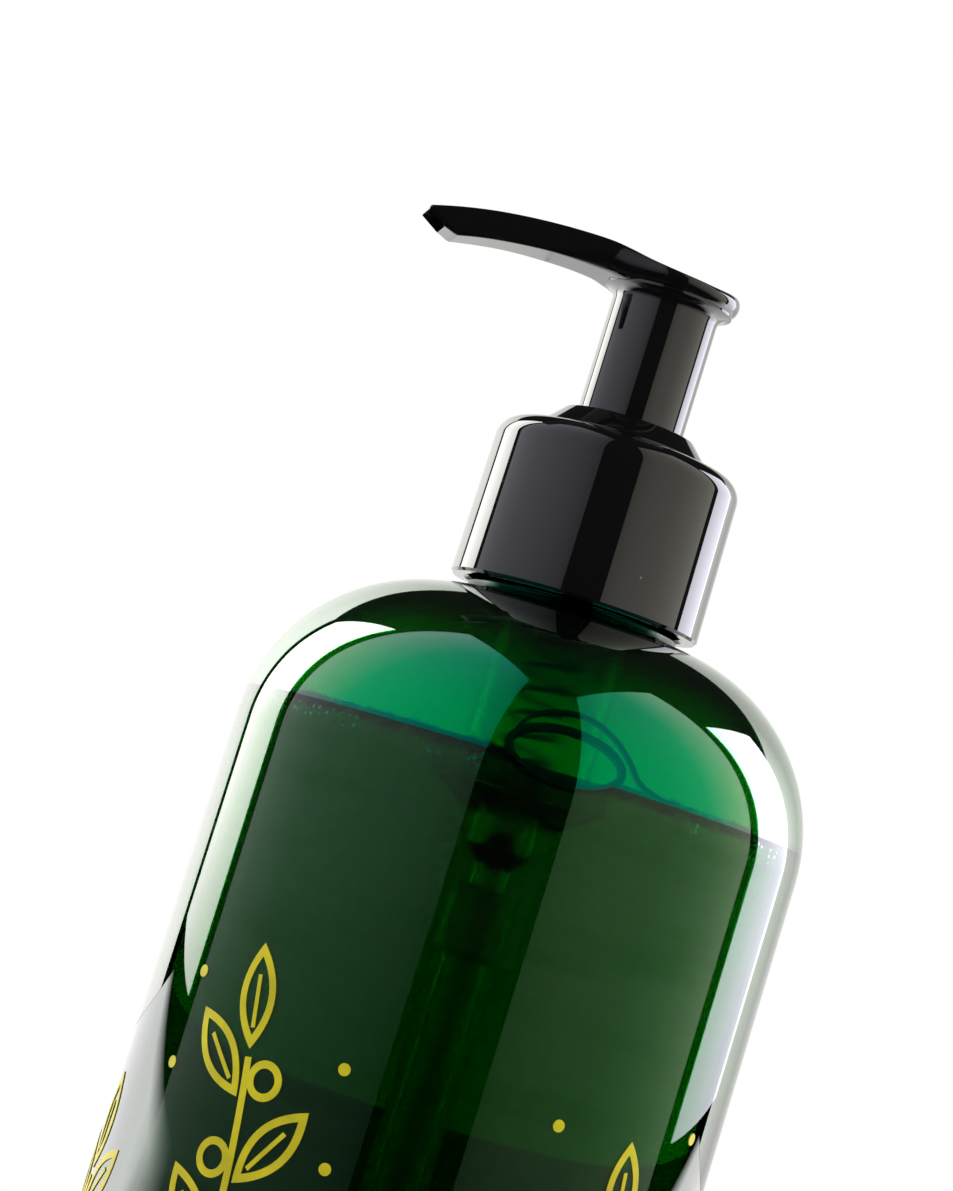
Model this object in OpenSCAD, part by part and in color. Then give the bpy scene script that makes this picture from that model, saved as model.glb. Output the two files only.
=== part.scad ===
// Round-shouldered soap bottle with a lotion pump. Millimetres, +Z up, origin at the centre of the base.
// The spout points along -X, and the printed face looks along -Y.

/* [Bottle] */
// Outside diameter of the body
body_d = 72; // [66:0.5:80]
// Height of the bare bottle, from the table to the rim of the neck
bottle_h = 166; // [150:1:180]
// Radius of the shoulder
shoulder_r = 23.1; // [18:0.1:23.2]
// Radius of the corner at the base
base_corner_r = 4; // [2.5:0.1:6]
// Height of the hollow under the base
push_up = 5; // [2:0.1:8]
// Width of the standing ring and its corner
foot_w = 9; // [7:0.1:12]
// Thickness of the blown wall
wall = 0.6; // [0.4:0.05:1]

/* [Neck] */
// Height of the neck above the shoulder
neck_h = 17.7; // [17.2:0.1:19]
// Diameter over the thread
thread_d = 27.3; // [26.8:0.1:27.8]
// Height of the thread above the neck's wall
thread_depth = 1.1; // [0.8:0.05:1.3]
// Pitch of the thread
thread_pitch = 4.23; // [4.1:0.01:4.4]
// Turns of thread on the neck and in the collar
thread_turns = 1.5; // [1:0.05:1.6]
// Width of a thread ridge at its root
thread_root_w = 2.2; // [1.9:0.05:2.3]
// Width of a thread ridge at its crest
thread_crest_w = 1; // [0.7:0.05:1.2]
// Bore of the neck
neck_bore_d = 21.6; // [20.5:0.1:22]
// Diameter of the bead under the collar
bead_d = 27; // [26:0.1:28]
// Height of the bead
bead_h = 1.1; // [0.7:0.1:1.6]

/* [Collar] */
// Wall of the collar at its lower edge
collar_wall = 2.1; // [1.6:0.1:3]
// How much narrower the collar is at its top, on the radius
collar_draft = 0.24; // [0:0.02:0.6]
// Rounding of the collar's top edge
collar_round = 2.9; // [1:0.1:3.5]
// Thickness of the collar's top
collar_top = 1.65; // [1.2:0.05:2.2]
// Thickness of the gasket
gasket_t = 0.9; // [0.6:0.05:1.4]
// Gap that lets the collar turn between the ring and the flange
turn_gap = 0.05; // [0.03:0.01:0.1]

/* [Retaining ring] */
// Diameter of the ring where it sits on the collar
ring_base_d = 21.5; // [21:0.1:23]
// Diameter of the ring's upper rim
ring_rim_d = 16.8; // [16:0.1:17.6]
// Height of the ring above the collar
ring_h = 3.03; // [2.6:0.05:3.6]
// Wall of the ring's guide tube
guide_wall = 0.85; // [0.7:0.05:1]
// Length of the guide tube below the ring's rim
guide_len = 8.8; // [7:0.1:10]

/* [Head] */
// Outside diameter of the sleeve
sleeve_d = 13.6; // [13:0.1:14]
// Wall of the sleeve
sleeve_wall = 0.9; // [0.7:0.05:1.2]
// Gap that is left under the head when it is pressed down
rest_gap = 1.84; // [0.5:0.02:3]
// Diameter of the thumb pad
pad_d = 17.74; // [17:0.1:20]
// Thickness of the thumb pad at its rim
pad_t = 3.5; // [3:0.1:4]
// Thickness of the thumb pad at the bottom of the saddle
saddle_t = 2.23; // [2:0.05:2.6]
// Radius of the saddle
saddle_r = 29.9; // [25:0.5:40]
// Fillet between the sleeve and the pad
head_fillet = 1.5; // [0.8:0.1:1.9]
// Reach of the spout from the axis
spout_reach = 32.3; // [28:0.5:35]
// Width of the spout
spout_w = 8.3; // [7.5:0.1:10]
// Thickness of the spout
spout_t = 3.2; // [2.9:0.1:3.8]
// Distance from the axis to the spout's crown
crown_x = 13; // [11:0.5:15]
// Height of the crown's underside above the pad's underside
crown_rise = 0.52; // [0.3:0.02:0.8]
// Radius of the spout's underside, seen from the side
spout_r = 61; // [50:1:90]
// Radius of the flare between the spout and the pad
flare_r = 23.1; // [18:0.5:28]
// Width of the channel through the spout
channel_w = 5; // [4:0.1:6]
// Wall above and below the channel
channel_wall = 0.6; // [0.5:0.05:0.8]

/* [Pump] */
// Travel of the head
stroke = 14; // [10:0.5:14.4]
// Bore of the pump barrel
barrel_bore = 14.9; // [14.7:0.05:15.1]
// Wall of the pump barrel
barrel_wall = 0.75; // [0.6:0.05:0.9]
// Diameter of the barrel's flange on the neck
flange_d = 24.6; // [23.5:0.1:25]
// Thickness of the flange
flange_t = 1.15; // [0.9:0.05:1.5]
// Depth of the barrel's bore below the neck's rim
barrel_depth = 42.6; // [42:0.1:48]
// Length of the narrow foot below the barrel
foot_len = 17.3; // [16.5:0.1:20]
// Outside diameter of the narrow foot
foot_d = 9.2; // [8.8:0.1:10]
// Number of ribs round the foot
rib_count = 4; // [2:1:4]
// Distance from rib to rib
rib_pitch = 2; // [1.6:0.1:2.1]
// Outside diameter of the stem
stem_d = 6; // [5.6:0.1:6.4]
// Bore of the stem
stem_bore = 3.4; // [3:0.1:3.8]
// Height of the piston
piston_h = 6.4; // [5.8:0.1:6.8]
// Slip of the piston along the stem, which opens the outlet
piston_slip = 1; // [0.6:0.1:1.4]
// Diameter of the spring wire
spring_wire = 0.8; // [0.6:0.05:0.9]
// Working turns of the spring
spring_turns = 7; // [5:1:8]
// Diameter of the inlet ball
ball_d = 4.8; // [4.6:0.1:5]
// Lift of the inlet ball
ball_lift = 1.5; // [1:0.1:1.6]

/* [Dip tube] */
// Outside diameter of the tube
tube_d = 6; // [5.6:0.1:6.2]
// Wall of the tube
tube_wall = 0.9; // [0.7:0.05:1.1]
// Height of the tube's lower end above the table
tube_end_z = 8.6; // [8:0.1:16]

/* [Contents] */
// Height of the soap's surface above the table
fill_z = 128.7; // [60:0.1:130]

/* [Print] */
// Width of a printed line
line_w = 0.9; // [0.7:0.05:1.2]
// Length of a leaf
leaf_len = 12; // [9:0.5:14]
// Width of a leaf
leaf_w = 5; // [4:0.1:6]
// Diameter of a fruit
fruit_d = 4.6; // [3.6:0.1:6]
// Bend radius of a twig
twig_r = 140; // [110:5:200]
// Leaf pairs on the tallest twig
leaf_pairs = 6; // [3:1:6]

/* [Hidden] */
$fn = 96;

black = "#141416";
green = [0, 0.42, 0.14, 0.7];
natural = [0.86, 0.88, 0.84];
eps = 0.01;

// Clearances, in millimetres
fit_gap = 0.05;      // soap against the wall
free_gap = 0.3;      // between pieces that never touch
thread_gap = 0.2;    // thread crest to the wall that faces it
slide_gap = 0.1;     // sleeve in its guide
bore_gap = 0.03;     // piston in the barrel and ball on its cone
press_gap = 0.02;    // corners of the square stalk in the stem
stem_gap = 0.05;     // piston and head on the stem
ink_gap = 0.02;      // ink to the wall
ink_t = 0.08;        // thickness of the ink

// Bottle
body_r = body_d / 2;
shoulder_top_z = bottle_h - neck_h;
shoulder_z = shoulder_top_z - shoulder_r;
neck_r = thread_d / 2 - thread_depth;
dome_edge_r = body_r - foot_w;
dome_r = (dome_edge_r * dome_edge_r + push_up * push_up) / (2 * push_up);
base_wall = 1.5 * wall;
rim_to_thread = 2.7;
thread_top_z = bottle_h - rim_to_thread;
thread_low_z = thread_top_z - thread_turns * thread_pitch;

// Stack of the closure, from the rim of the neck upwards
flange_z = bottle_h + gasket_t;
panel_z = flange_z + flange_t + turn_gap;
collar_top_z = panel_z + collar_top;
ring_z = collar_top_z + turn_gap;
ring_rim_z = ring_z + ring_h;
collar_z = shoulder_top_z + bead_h + free_gap;
collar_in_r = thread_d / 2 + thread_gap;
collar_out_r = collar_in_r + collar_wall;
collar_thread_depth = thread_depth - thread_gap;
// The collar's thread bears on the lower flank of the neck's thread
thread_offset = (thread_root_w + thread_crest_w) / 2 + thread_gap;

// Guide, barrel and sleeve
sleeve_r = sleeve_d / 2;
guide_r = sleeve_r + slide_gap;
guide_out_r = guide_r + guide_wall;
guide_low_z = ring_rim_z - guide_len;
barrel_r = barrel_bore / 2;
barrel_out_r = barrel_r + barrel_wall;
barrel_neck_r = guide_out_r + guide_wall;
rim_over_barrel = 1.5;
barrel_neck_z = ring_rim_z - rim_over_barrel;
barrel_step_t = 0.9;
barrel_step_z = guide_low_z - barrel_step_t;
lip_r = barrel_r - slide_gap;
lip_h = 1.2;
sleeve_low_z = guide_low_z - turn_gap - lip_h;

// Head
head_z = ring_rim_z + stroke + rest_gap;
pad_r = pad_d / 2;
pad_z = head_z + head_fillet;
saddle_z = pad_z + saddle_t;
saddle_x = 0.5;
crown_z = pad_z + crown_rise;
arc_z = crown_z - spout_r;
spout_top_r = spout_r + spout_t;
tip_z = arc_z + sqrt(pow(spout_top_r, 2) - pow(spout_reach - crown_x, 2));
flare_y = spout_w / 2 + flare_r;
flare_x = sqrt(pow(pad_r + flare_r, 2) - flare_y * flare_y);
flare_end = pad_r / (pad_r + flare_r);
roof_t = 0.6;
roof_z = head_z - roof_t;
socket_len = 10;
socket_z = roof_z - socket_len;
socket_bore_r = stem_d / 2 + stem_gap;
socket_wall = 1.25;
snap_depth = 0.25;
snap_h = 1;
socket_r = socket_bore_r + socket_wall;
snap_z = socket_z + socket_len / 2;

// Piston and stem
piston_drop = 7.5;
piston_z = sleeve_low_z - piston_slip - piston_h - piston_drop;
hub_inset = 0.6;
stem_low_z = piston_z + hub_inset;
hub_top_z = piston_z + piston_h - hub_inset;
stem_over_roof = 0.3;
stem_top_z = roof_z + stem_over_roof;
stop_t = 1;
stop_r = stem_d / 2 + 0.9;
seat_t = 1.3;
seat_r = stem_d / 2 + 1.4;
seat_z = stem_low_z - seat_t;

// Foot of the barrel
ledge_z = bottle_h - barrel_depth;
ledge_rise = 1.8;
ledge_w = 2.6;
ledge_t = 1.1;
barrel_low_z = ledge_z + ledge_rise;
foot_r = foot_d / 2;
foot_top_z = ledge_z - ledge_t;
foot_z = foot_top_z - foot_len;
ball_r = ball_d / 2;
cage_gap = 0.5;
cage_r = ball_r + cage_gap;
cage_depth = 7.2;
throat_r = 1.6;
throat_len = 2.6;
cone_angle = 30;
cone_low_z = ledge_z - cage_depth;
cone_top_z = cone_low_z + (cage_r - throat_r) / tan(cone_angle);
ball_z = cone_low_z + (ball_r - throat_r * cos(cone_angle)) / sin(cone_angle) + bore_gap;
tube_r = tube_d / 2;
tube_top_z = cone_low_z - throat_len;
rib_size = 0.8;
rib_r = foot_r + rib_size;
rib_low_z = foot_top_z - 2 * rib_size;
spring_r = seat_r - spring_wire / 2 - free_gap;

// Print
leaf_step = 0.78;    // distance from leaf to leaf, as a share of a leaf's length
twig_step = leaf_step * leaf_len / twig_r * 180 / PI;
dot_d = 1.6 * line_w;

function ring_points(r0, r1, root_w, crest_w, a, z) = [
    [r0 * cos(a), r0 * sin(a), z - root_w / 2],
    [r1 * cos(a), r1 * sin(a), z - crest_w / 2],
    [r1 * cos(a), r1 * sin(a), z + crest_w / 2],
    [r0 * cos(a), r0 * sin(a), z + root_w / 2]];

function tube_faces(rings, sides, flip = false) = let (quads = [
    for (i = [0:rings - 2]) for (k = [0:sides - 1])
        let (a = i * sides + k, b = i * sides + (k + 1) % sides)
        each [[a, b, b + sides], [a, b + sides, a + sides]]],
    caps = [[for (k = [sides - 1:-1:0]) k], [for (k = [0:sides - 1]) (rings - 1) * sides + k]])
    [for (f = concat(quads, caps)) flip ? [for (k = [len(f) - 1:-1:0]) f[k]] : f];

// Helical ridge from a wall at r_wall to a crest at r_crest, which runs out at both ends
module thread_ridge(r_wall, r_crest, z_low, turns) {
    per_turn = 30;
    steps = ceil(turns * per_turn);
    out = r_crest > r_wall ? 1 : -1;
    sunk = 0.3;
    rings = [for (i = [0:steps])
        let (t = i / steps, a = 360 * turns * t, fade = min(1, min(t, 1 - t) * turns * 12))
        ring_points(r_wall - out * sunk, r_wall + (r_crest - r_wall) * max(fade, 0.02),
            thread_root_w + sunk, thread_crest_w, a, z_low + thread_pitch * turns * t)];
    polyhedron(points = [for (r = rings) each r], faces = tube_faces(steps + 1, 4, out < 0), convexity = 6);
}

// Half section of the blown shell, drawn inwards by off
module shell_outline(off, base_off) {
    difference() {
        union() {
            translate([0, base_corner_r]) square([body_r - off, shoulder_z - base_corner_r]);
            translate([0, base_off]) square([body_r - base_corner_r, shoulder_z]);
            intersection() {
                translate([body_r - base_corner_r, base_corner_r]) circle(base_corner_r - off);
                square([body_r, base_corner_r]);
            }
            intersection() {
                translate([body_r - shoulder_r, shoulder_z]) circle(shoulder_r - off);
                translate([0, shoulder_z]) square([body_r, shoulder_r]);
            }
            translate([0, shoulder_z]) square([body_r - shoulder_r, shoulder_r - off]);
        }
        translate([0, push_up - dome_r]) circle(dome_r + base_off);
    }
}

module half_plane() {
    translate([0, -body_d]) square([body_d, bottle_h + 2 * body_d]);
}

module bottle() {
    color(green) {
        difference() {
            union() {
                rotate_extrude() intersection() {
                    union() {
                        shell_outline(0, 0);
                        translate([0, shoulder_top_z - 1]) square([neck_r, neck_h + 1]);
                        translate([0, shoulder_top_z - 0.1]) square([bead_d / 2, bead_h + 0.1]);
                    }
                    half_plane();
                }
                thread_ridge(neck_r, thread_d / 2, thread_low_z, thread_turns);
            }
            rotate_extrude() intersection() {
                union() {
                    shell_outline(wall, base_wall);
                    translate([0, shoulder_top_z - 2]) square([neck_bore_d / 2, neck_h + 3]);
                }
                half_plane();
            }
        }
    }
}

// The soap fills the shell to its level, and leaves room round the pump for it to be drawn out
module soap() {
    color([0.05, 0.2, 0.08]) rotate_extrude() difference() {
        intersection() {
            shell_outline(wall + fit_gap, base_wall + fit_gap);
            square([body_r, fill_z]);
        }
        translate([0, tube_end_z - free_gap]) square([tube_r + free_gap, fill_z]);
        translate([0, foot_z - free_gap]) square([rib_r + free_gap, fill_z]);
        translate([0, foot_top_z - free_gap]) square([barrel_out_r + free_gap, fill_z]);
    }
}

// Print: twigs of leaves and fruit in line work
module lens(l, w) {
    half = [for (i = [0:4]) let (x = i / 2 - 1) [x * l / 2, (1 - x * x) * w / 2]];
    polygon(concat(half, [for (i = [3:-1:1]) [half[i][0], -half[i][1]]]));
}

module loop(d) {
    difference() {
        circle(d = d, $fn = 12);
        circle(d = d - 2 * line_w, $fn = 12);
    }
}

module leaf() {
    point = 1.7 * line_w;
    vein_w = 0.6 * line_w;
    vein_len = 0.5 * leaf_len;
    vein_start = 0.2 * leaf_len;
    difference() {
        translate([leaf_len / 2, 0]) lens(leaf_len, leaf_w);
        translate([leaf_len / 2, 0]) lens(leaf_len - 2 * point, leaf_w - 2 * line_w);
    }
    translate([vein_start, -vein_w / 2]) square([vein_len, vein_w]);
}

// A twig grows upwards from its foot and bends to one side. Every third place on it holds a fruit.
module twig(pairs) {
    spread = 38;
    leaf_gap = 1.5 * line_w;
    fruit_gap = 0.6 * fruit_d;
    bend = [for (i = [0:pairs]) i * twig_step];
    translate([-twig_r, 0]) {
        polygon(concat([for (a = bend) (twig_r + line_w / 2) * [cos(a), sin(a)]],
            [for (i = [pairs:-1:0]) (twig_r - line_w / 2) * [cos(bend[i]), sin(bend[i])]]));
        for (i = [1:pairs], side = [0, 1]) rotate(twig_step * (i - 0.6)) translate([twig_r, 0])
            rotate(90 + (2 * side - 1) * spread) translate([leaf_gap, 0])
                if ((i + side) % 3 == 0) translate([fruit_gap, 0]) loop(fruit_d);
                else leaf();
        rotate(twig_step * pairs) translate([twig_r, 0]) rotate(90) translate([line_w, 0]) leaf();
    }
}

module ink(angle, z) {
    rotate([0, 0, angle]) intersection() {
        translate([0, 0, z]) rotate([90, 0, 0]) linear_extrude(body_r * 1.2) children();
        difference() {
            cylinder(h = shoulder_z, r = body_r + ink_gap + ink_t);
            translate([0, 0, -1]) cylinder(h = shoulder_z + 2, r = body_r + ink_gap);
        }
    }
}

// Each twig: angle round the bottle, height of its foot, the way it bends,
// and leaf pairs fewer than the tallest
twigs = [[-84, 30, -1, 2], [-46, 32, 1, 0], [-8, 18, -1, 1], [30, 32, 1, 1], [66, 24, -1, 1]];
// Each dot: angle round the bottle and height
dots = [[-65, 84], [-64, 95], [-65, 34], [-27, 90], [-25, 79], [-28, 36], [10, 66], [11, 80], [13, 91],
    [11, 26], [48, 93], [49, 82], [48, 30]];

module print() {
    lean = twig_step * leaf_pairs / 2;
    color([0.72, 0.68, 0.1]) {
        for (t = twigs) ink(t[0], t[1]) scale([t[2], 1]) rotate(-lean) twig(max(1, leaf_pairs - t[3]));
        for (d = dots) ink(d[0], d[1]) circle(d = dot_d, $fn = 8);
    }
}

module collar() {
    top_r = collar_out_r - collar_draft;
    color(black) {
        difference() {
            rotate_extrude() union() {
                polygon([[0, collar_z], [collar_out_r, collar_z], [top_r, collar_top_z - collar_round],
                    [0, collar_top_z - collar_round]]);
                translate([0, collar_top_z - collar_round]) square([top_r - collar_round, collar_round]);
                intersection() {
                    translate([top_r - collar_round, collar_top_z - collar_round]) circle(collar_round);
                    translate([0, collar_top_z - collar_round]) square([top_r, collar_round]);
                }
            }
            translate([0, 0, collar_z - 1]) cylinder(h = panel_z - collar_z + 1, r = collar_in_r);
            translate([0, 0, panel_z - 1]) cylinder(h = collar_top + 2, r = barrel_neck_r + thread_gap);
        }
        thread_ridge(collar_in_r, collar_in_r - collar_thread_depth,
            thread_low_z - thread_offset, thread_turns);
    }
}

// The ring snaps over the barrel's neck, holds the collar down and guides the sleeve
module retaining_ring() {
    color(black) rotate_extrude() difference() {
        union() {
            polygon([[guide_r, ring_z], [ring_base_d / 2, ring_z], [ring_rim_d / 2, ring_rim_z],
                [guide_r, ring_rim_z]]);
            translate([guide_r, guide_low_z]) square([guide_wall, guide_len]);
        }
        translate([guide_out_r, ring_z - 1]) square([guide_wall, barrel_neck_z - ring_z + 1]);
    }
}

module gasket() {
    in_r = barrel_neck_r + thread_gap;
    color([0.92, 0.92, 0.9]) rotate_extrude()
        translate([in_r, bottle_h]) square([flange_d / 2 - in_r, gasket_t]);
}

module housing() {
    bar_w = 1;
    bar_h = 0.8;
    bar_z = ball_z + ball_r + ball_lift + stem_gap;
    vent_r = 0.6;
    vent_drop = 3;
    color(natural) difference() {
        rotate_extrude() union() {
            translate([0, flange_z]) square([flange_d / 2, flange_t]);
            translate([0, barrel_step_z]) square([barrel_neck_r, barrel_neck_z - barrel_step_z]);
            translate([0, barrel_low_z]) square([barrel_out_r, barrel_step_z - barrel_low_z + 1]);
            polygon([[0, foot_top_z], [foot_r, foot_top_z], [barrel_out_r, barrel_low_z], [0, barrel_low_z]]);
            translate([0, foot_z]) square([foot_r, foot_len]);
            for (i = [0:rib_count - 1]) translate([0, rib_low_z - i * rib_pitch]) square([rib_r, rib_size]);
        }
        rotate_extrude() union() {
            translate([0, guide_low_z]) square([guide_out_r, ring_rim_z]);
            translate([0, barrel_low_z]) square([barrel_r, guide_low_z - barrel_low_z + 1]);
            polygon([[0, ledge_z], [barrel_r - ledge_w, ledge_z], [barrel_r, barrel_low_z],
                [0, barrel_low_z]]);
        }
        difference() {
            rotate_extrude() union() {
                polygon([[0, cone_low_z], [throat_r, cone_low_z], [cage_r, cone_top_z], [0, cone_top_z]]);
                translate([0, cone_top_z]) square([cage_r, ledge_z - cone_top_z + 1]);
            }
            // Bar that keeps the ball in
            translate([-2 * cage_r, -bar_w / 2, bar_z]) cube([4 * cage_r, bar_w, bar_h]);
        }
        translate([0, 0, tube_top_z - 1]) cylinder(h = cone_low_z - tube_top_z + 2, r = throat_r);
        translate([0, 0, foot_z - 1]) cylinder(h = tube_top_z - foot_z + 1, r = tube_r);
        // Vent that lets air into the bottle
        translate([0, 0, guide_low_z - vent_drop]) rotate([0, 90, 0])
            cylinder(h = barrel_out_r + 1, r = vent_r);
    }
}

module dip_tube() {
    bevel = 45;
    color(natural) difference() {
        translate([0, 0, tube_end_z]) cylinder(h = tube_top_z - tube_end_z, r = tube_r);
        translate([0, 0, tube_end_z - 1]) cylinder(h = tube_top_z - tube_end_z + 2, r = tube_r - tube_wall);
        translate([-tube_r, 0, tube_end_z]) rotate([0, bevel, 0])
            translate([-4 * tube_r, -2 * tube_r, -4 * tube_r]) cube([8 * tube_r, 4 * tube_r, 4 * tube_r]);
    }
}

module ball() {
    color("silver") translate([0, 0, ball_z]) sphere(ball_r);
}

module spring() {
    sides = 6;
    per_turn = 18;
    low = ledge_z + spring_wire / 2 + turn_gap;
    high = seat_z - spring_wire / 2 - turn_gap;
    dead = 1;
    turns = spring_turns + 2 * dead;
    steps = turns * per_turn;
    rings = [for (i = [0:steps])
        let (n = i / per_turn, a = 360 * n,
            rise = n < dead ? n * spring_wire : n > turns - dead
                ? high - low - (turns - n) * spring_wire
                : dead * spring_wire + (n - dead) / spring_turns * (high - low - 2 * dead * spring_wire))
        [for (k = [0:sides - 1])
            let (r = spring_r + spring_wire / 2 * cos(360 * k / sides))
            [r * cos(a), r * sin(a), low + rise + spring_wire / 2 * sin(360 * k / sides)]]];
    color("silver") polyhedron(points = [for (r = rings) each r],
        faces = tube_faces(steps + 1, sides), convexity = 10);
}

module piston() {
    hub_r = stem_d / 2 + stem_gap;
    hub_wall = 1;
    out_r = barrel_r - bore_gap;
    lip_wall = 0.7;
    waist_wall = 1;
    web_t = 1.2;
    mid_z = piston_z + piston_h / 2;
    color([0.9, 0.92, 0.95]) rotate_extrude() union() {
        translate([hub_r, stem_low_z]) square([hub_wall, hub_top_z - stem_low_z]);
        translate([hub_r, mid_z - web_t / 2]) square([out_r - hub_r, web_t]);
        polygon([[out_r - lip_wall, piston_z], [out_r, piston_z], [out_r, piston_z + piston_h],
            [out_r - lip_wall, piston_z + piston_h], [out_r - waist_wall, mid_z]]);
    }
}

// The seat shuts the piston's hub from below, and its square stalk leaves the flow room in the stem
module piston_seat() {
    stalk = (stem_bore - 2 * press_gap) * sqrt(0.5);
    stalk_len = 6;
    color([0.9, 0.92, 0.95]) {
        translate([0, 0, seat_z]) cylinder(h = seat_t, r = seat_r);
        translate([-stalk / 2, -stalk / 2, seat_z + seat_t - eps]) cube([stalk, stalk, stalk_len]);
    }
}

// The slip of the piston opens four slots at the stem's lower end, and a stop on the stem ends the slip.
// The groove near the top takes the ridge in the head's socket, so the head swivels and stays on.
module stem() {
    slot_w = 1;
    slot_h = piston_slip - stem_gap;
    color(natural) difference() {
        union() {
            translate([0, 0, stem_low_z]) cylinder(h = stem_top_z - stem_low_z, r = stem_d / 2);
            translate([0, 0, hub_top_z + piston_slip]) cylinder(h = stop_t, r = stop_r);
        }
        translate([0, 0, stem_low_z - 1]) cylinder(h = stem_top_z - stem_low_z + 2, r = stem_bore / 2);
        for (a = [0, 90]) rotate([0, 0, a]) translate([-stem_d, -slot_w / 2, stem_low_z - 1])
            cube([2 * stem_d, slot_w, slot_h + 1]);
        rotate_extrude() translate([stem_d / 2 - snap_depth, snap_z - stem_gap])
            square([2 * snap_depth, snap_h + 2 * stem_gap]);
    }
}

// Side view of the spout between two arcs round one centre, drawn inwards by off
module spout_side(off) {
    tip_cut = 20;
    difference() {
        translate([-crown_x, arc_z]) circle(spout_top_r - off);
        translate([-crown_x, arc_z]) circle(spout_r + off);
        translate([-saddle_x, saddle_z + saddle_r]) circle(saddle_r + off);
        translate([-crown_x - 2 * spout_r, arc_z - 2 * spout_r]) square([4 * spout_r, 2 * spout_r]);
        translate([0, arc_z]) square([2 * spout_r, 2 * spout_r]);
        if (off == 0) translate([-spout_reach, tip_z]) rotate(45)
            translate([-tip_cut, -tip_cut / 2]) square(tip_cut);
    }
}

module spout_plan() {
    difference() {
        union() {
            translate([-spout_reach - 2, -spout_w / 2]) square([spout_reach + 2, spout_w]);
            translate([-flare_x, -flare_y * flare_end])
                square([flare_x * (1 - flare_end), 2 * flare_y * flare_end]);
        }
        for (s = [-1, 1]) translate([-flare_x, s * flare_y]) circle(flare_r);
    }
}

module pad() {
    nose = pad_t / 2;
    difference() {
        rotate_extrude() union() {
            translate([0, pad_z]) square([pad_r - nose, pad_t]);
            intersection() {
                translate([pad_r - nose, pad_z + nose]) circle(nose);
                translate([0, pad_z]) square([pad_r, pad_t]);
            }
            difference() {
                translate([0, roof_z]) square([sleeve_r + head_fillet, pad_z - roof_z + eps]);
                translate([sleeve_r + head_fillet, head_z]) circle(head_fillet);
                translate([sleeve_r, roof_z - 1]) square([head_fillet + 1, head_z - roof_z + 1]);
            }
        }
        translate([-saddle_x, pad_r + 1, saddle_z + saddle_r]) rotate([90, 0, 0])
            cylinder(h = 2 * pad_r + 2, r = saddle_r, $fn = 192);
    }
}

module head() {
    color(black) difference() {
        union() {
            pad();
            intersection() {
                rotate([90, 0, 0]) translate([0, 0, -pad_r]) linear_extrude(2 * pad_r)
                    spout_side(0, $fn = 192);
                translate([0, 0, socket_z]) linear_extrude(2 * socket_len) spout_plan();
            }
            translate([0, 0, sleeve_low_z]) difference() {
                union() {
                    cylinder(h = roof_z - sleeve_low_z + eps, r = sleeve_r);
                    cylinder(h = lip_h, r = lip_r);
                }
                translate([0, 0, -1]) cylinder(h = roof_z - sleeve_low_z + 1, r = sleeve_r - sleeve_wall);
            }
            translate([0, 0, socket_z]) cylinder(h = roof_z - socket_z + eps, r = socket_r);
        }
        rotate_extrude() difference() {
            translate([0, socket_z - 1]) square([socket_bore_r, stem_top_z - socket_z + 1]);
            translate([socket_bore_r - snap_depth, snap_z]) square([snap_depth, snap_h]);
        }
        translate([0, 0, socket_z]) cylinder(h = crown_z + channel_wall - socket_z, r = stem_bore / 2);
        intersection() {
            rotate([90, 0, 0]) translate([0, 0, -channel_w / 2]) linear_extrude(channel_w)
                spout_side(channel_wall, $fn = 192);
            translate([-2 * spout_reach, -channel_w, socket_z])
                cube([2 * spout_reach, 2 * channel_w, 2 * socket_len]);
        }
    }
}

bottle();
soap();
print();
collar();
retaining_ring();
gasket();
housing();
dip_tube();
ball();
spring();
piston();
piston_seat();
stem();
head();
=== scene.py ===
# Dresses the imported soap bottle: a clear green bottle of dark soap with a black lotion pump.
# Lengths are in metres, +Z is up, the spout points along -X and the printed face looks along -Y.
import math
import random

import bmesh
import bpy
from bpy.props import FloatProperty, FloatVectorProperty, IntProperty, PointerProperty
from mathutils import Matrix, Vector


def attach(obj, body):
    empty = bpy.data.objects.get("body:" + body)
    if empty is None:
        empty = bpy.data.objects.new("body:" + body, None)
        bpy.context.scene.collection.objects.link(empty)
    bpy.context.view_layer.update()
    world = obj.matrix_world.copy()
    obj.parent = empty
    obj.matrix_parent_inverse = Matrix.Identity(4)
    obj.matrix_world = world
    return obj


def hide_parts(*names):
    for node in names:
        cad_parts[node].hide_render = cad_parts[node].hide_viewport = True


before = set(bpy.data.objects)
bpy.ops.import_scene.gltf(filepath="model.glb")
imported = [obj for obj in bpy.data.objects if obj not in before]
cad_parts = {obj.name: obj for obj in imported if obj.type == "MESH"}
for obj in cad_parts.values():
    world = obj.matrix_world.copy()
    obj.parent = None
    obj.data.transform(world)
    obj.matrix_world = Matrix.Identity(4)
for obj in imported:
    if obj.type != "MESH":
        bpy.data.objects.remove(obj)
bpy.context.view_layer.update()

bl_info = {
    "name": "Soap bottle with lotion pump",
    "version": (1, 0, 0),
    "blender": (4, 5, 0),
    "location": "3D View > Sidebar > Soap bottle",
    "description": "Builds the detailed pieces of a round-shouldered soap bottle and its lotion pump",
    "category": "Object",
}

MM = 0.001
TINY = 1e-7
WHITE = (1.0, 1.0, 1.0)


# Settings

def length(name, description, default):
    """Length property, with its default in millimetres."""
    return FloatProperty(name=name, description=description, default=default * MM, unit="LENGTH",
                         precision=5)


def number(name, description, default):
    """Number property of 0 or more."""
    return FloatProperty(name=name, description=description, default=default, min=0)


def bearing(name, description, default):
    """Angle property, with its default in degrees."""
    return FloatProperty(name=name, description=description, default=math.radians(default), subtype="ANGLE")


def colour(name, description, default):
    """Linear colour property."""
    return FloatVectorProperty(name=name, description=description, default=default, subtype="COLOR",
                               size=3, min=0, max=1)


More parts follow.
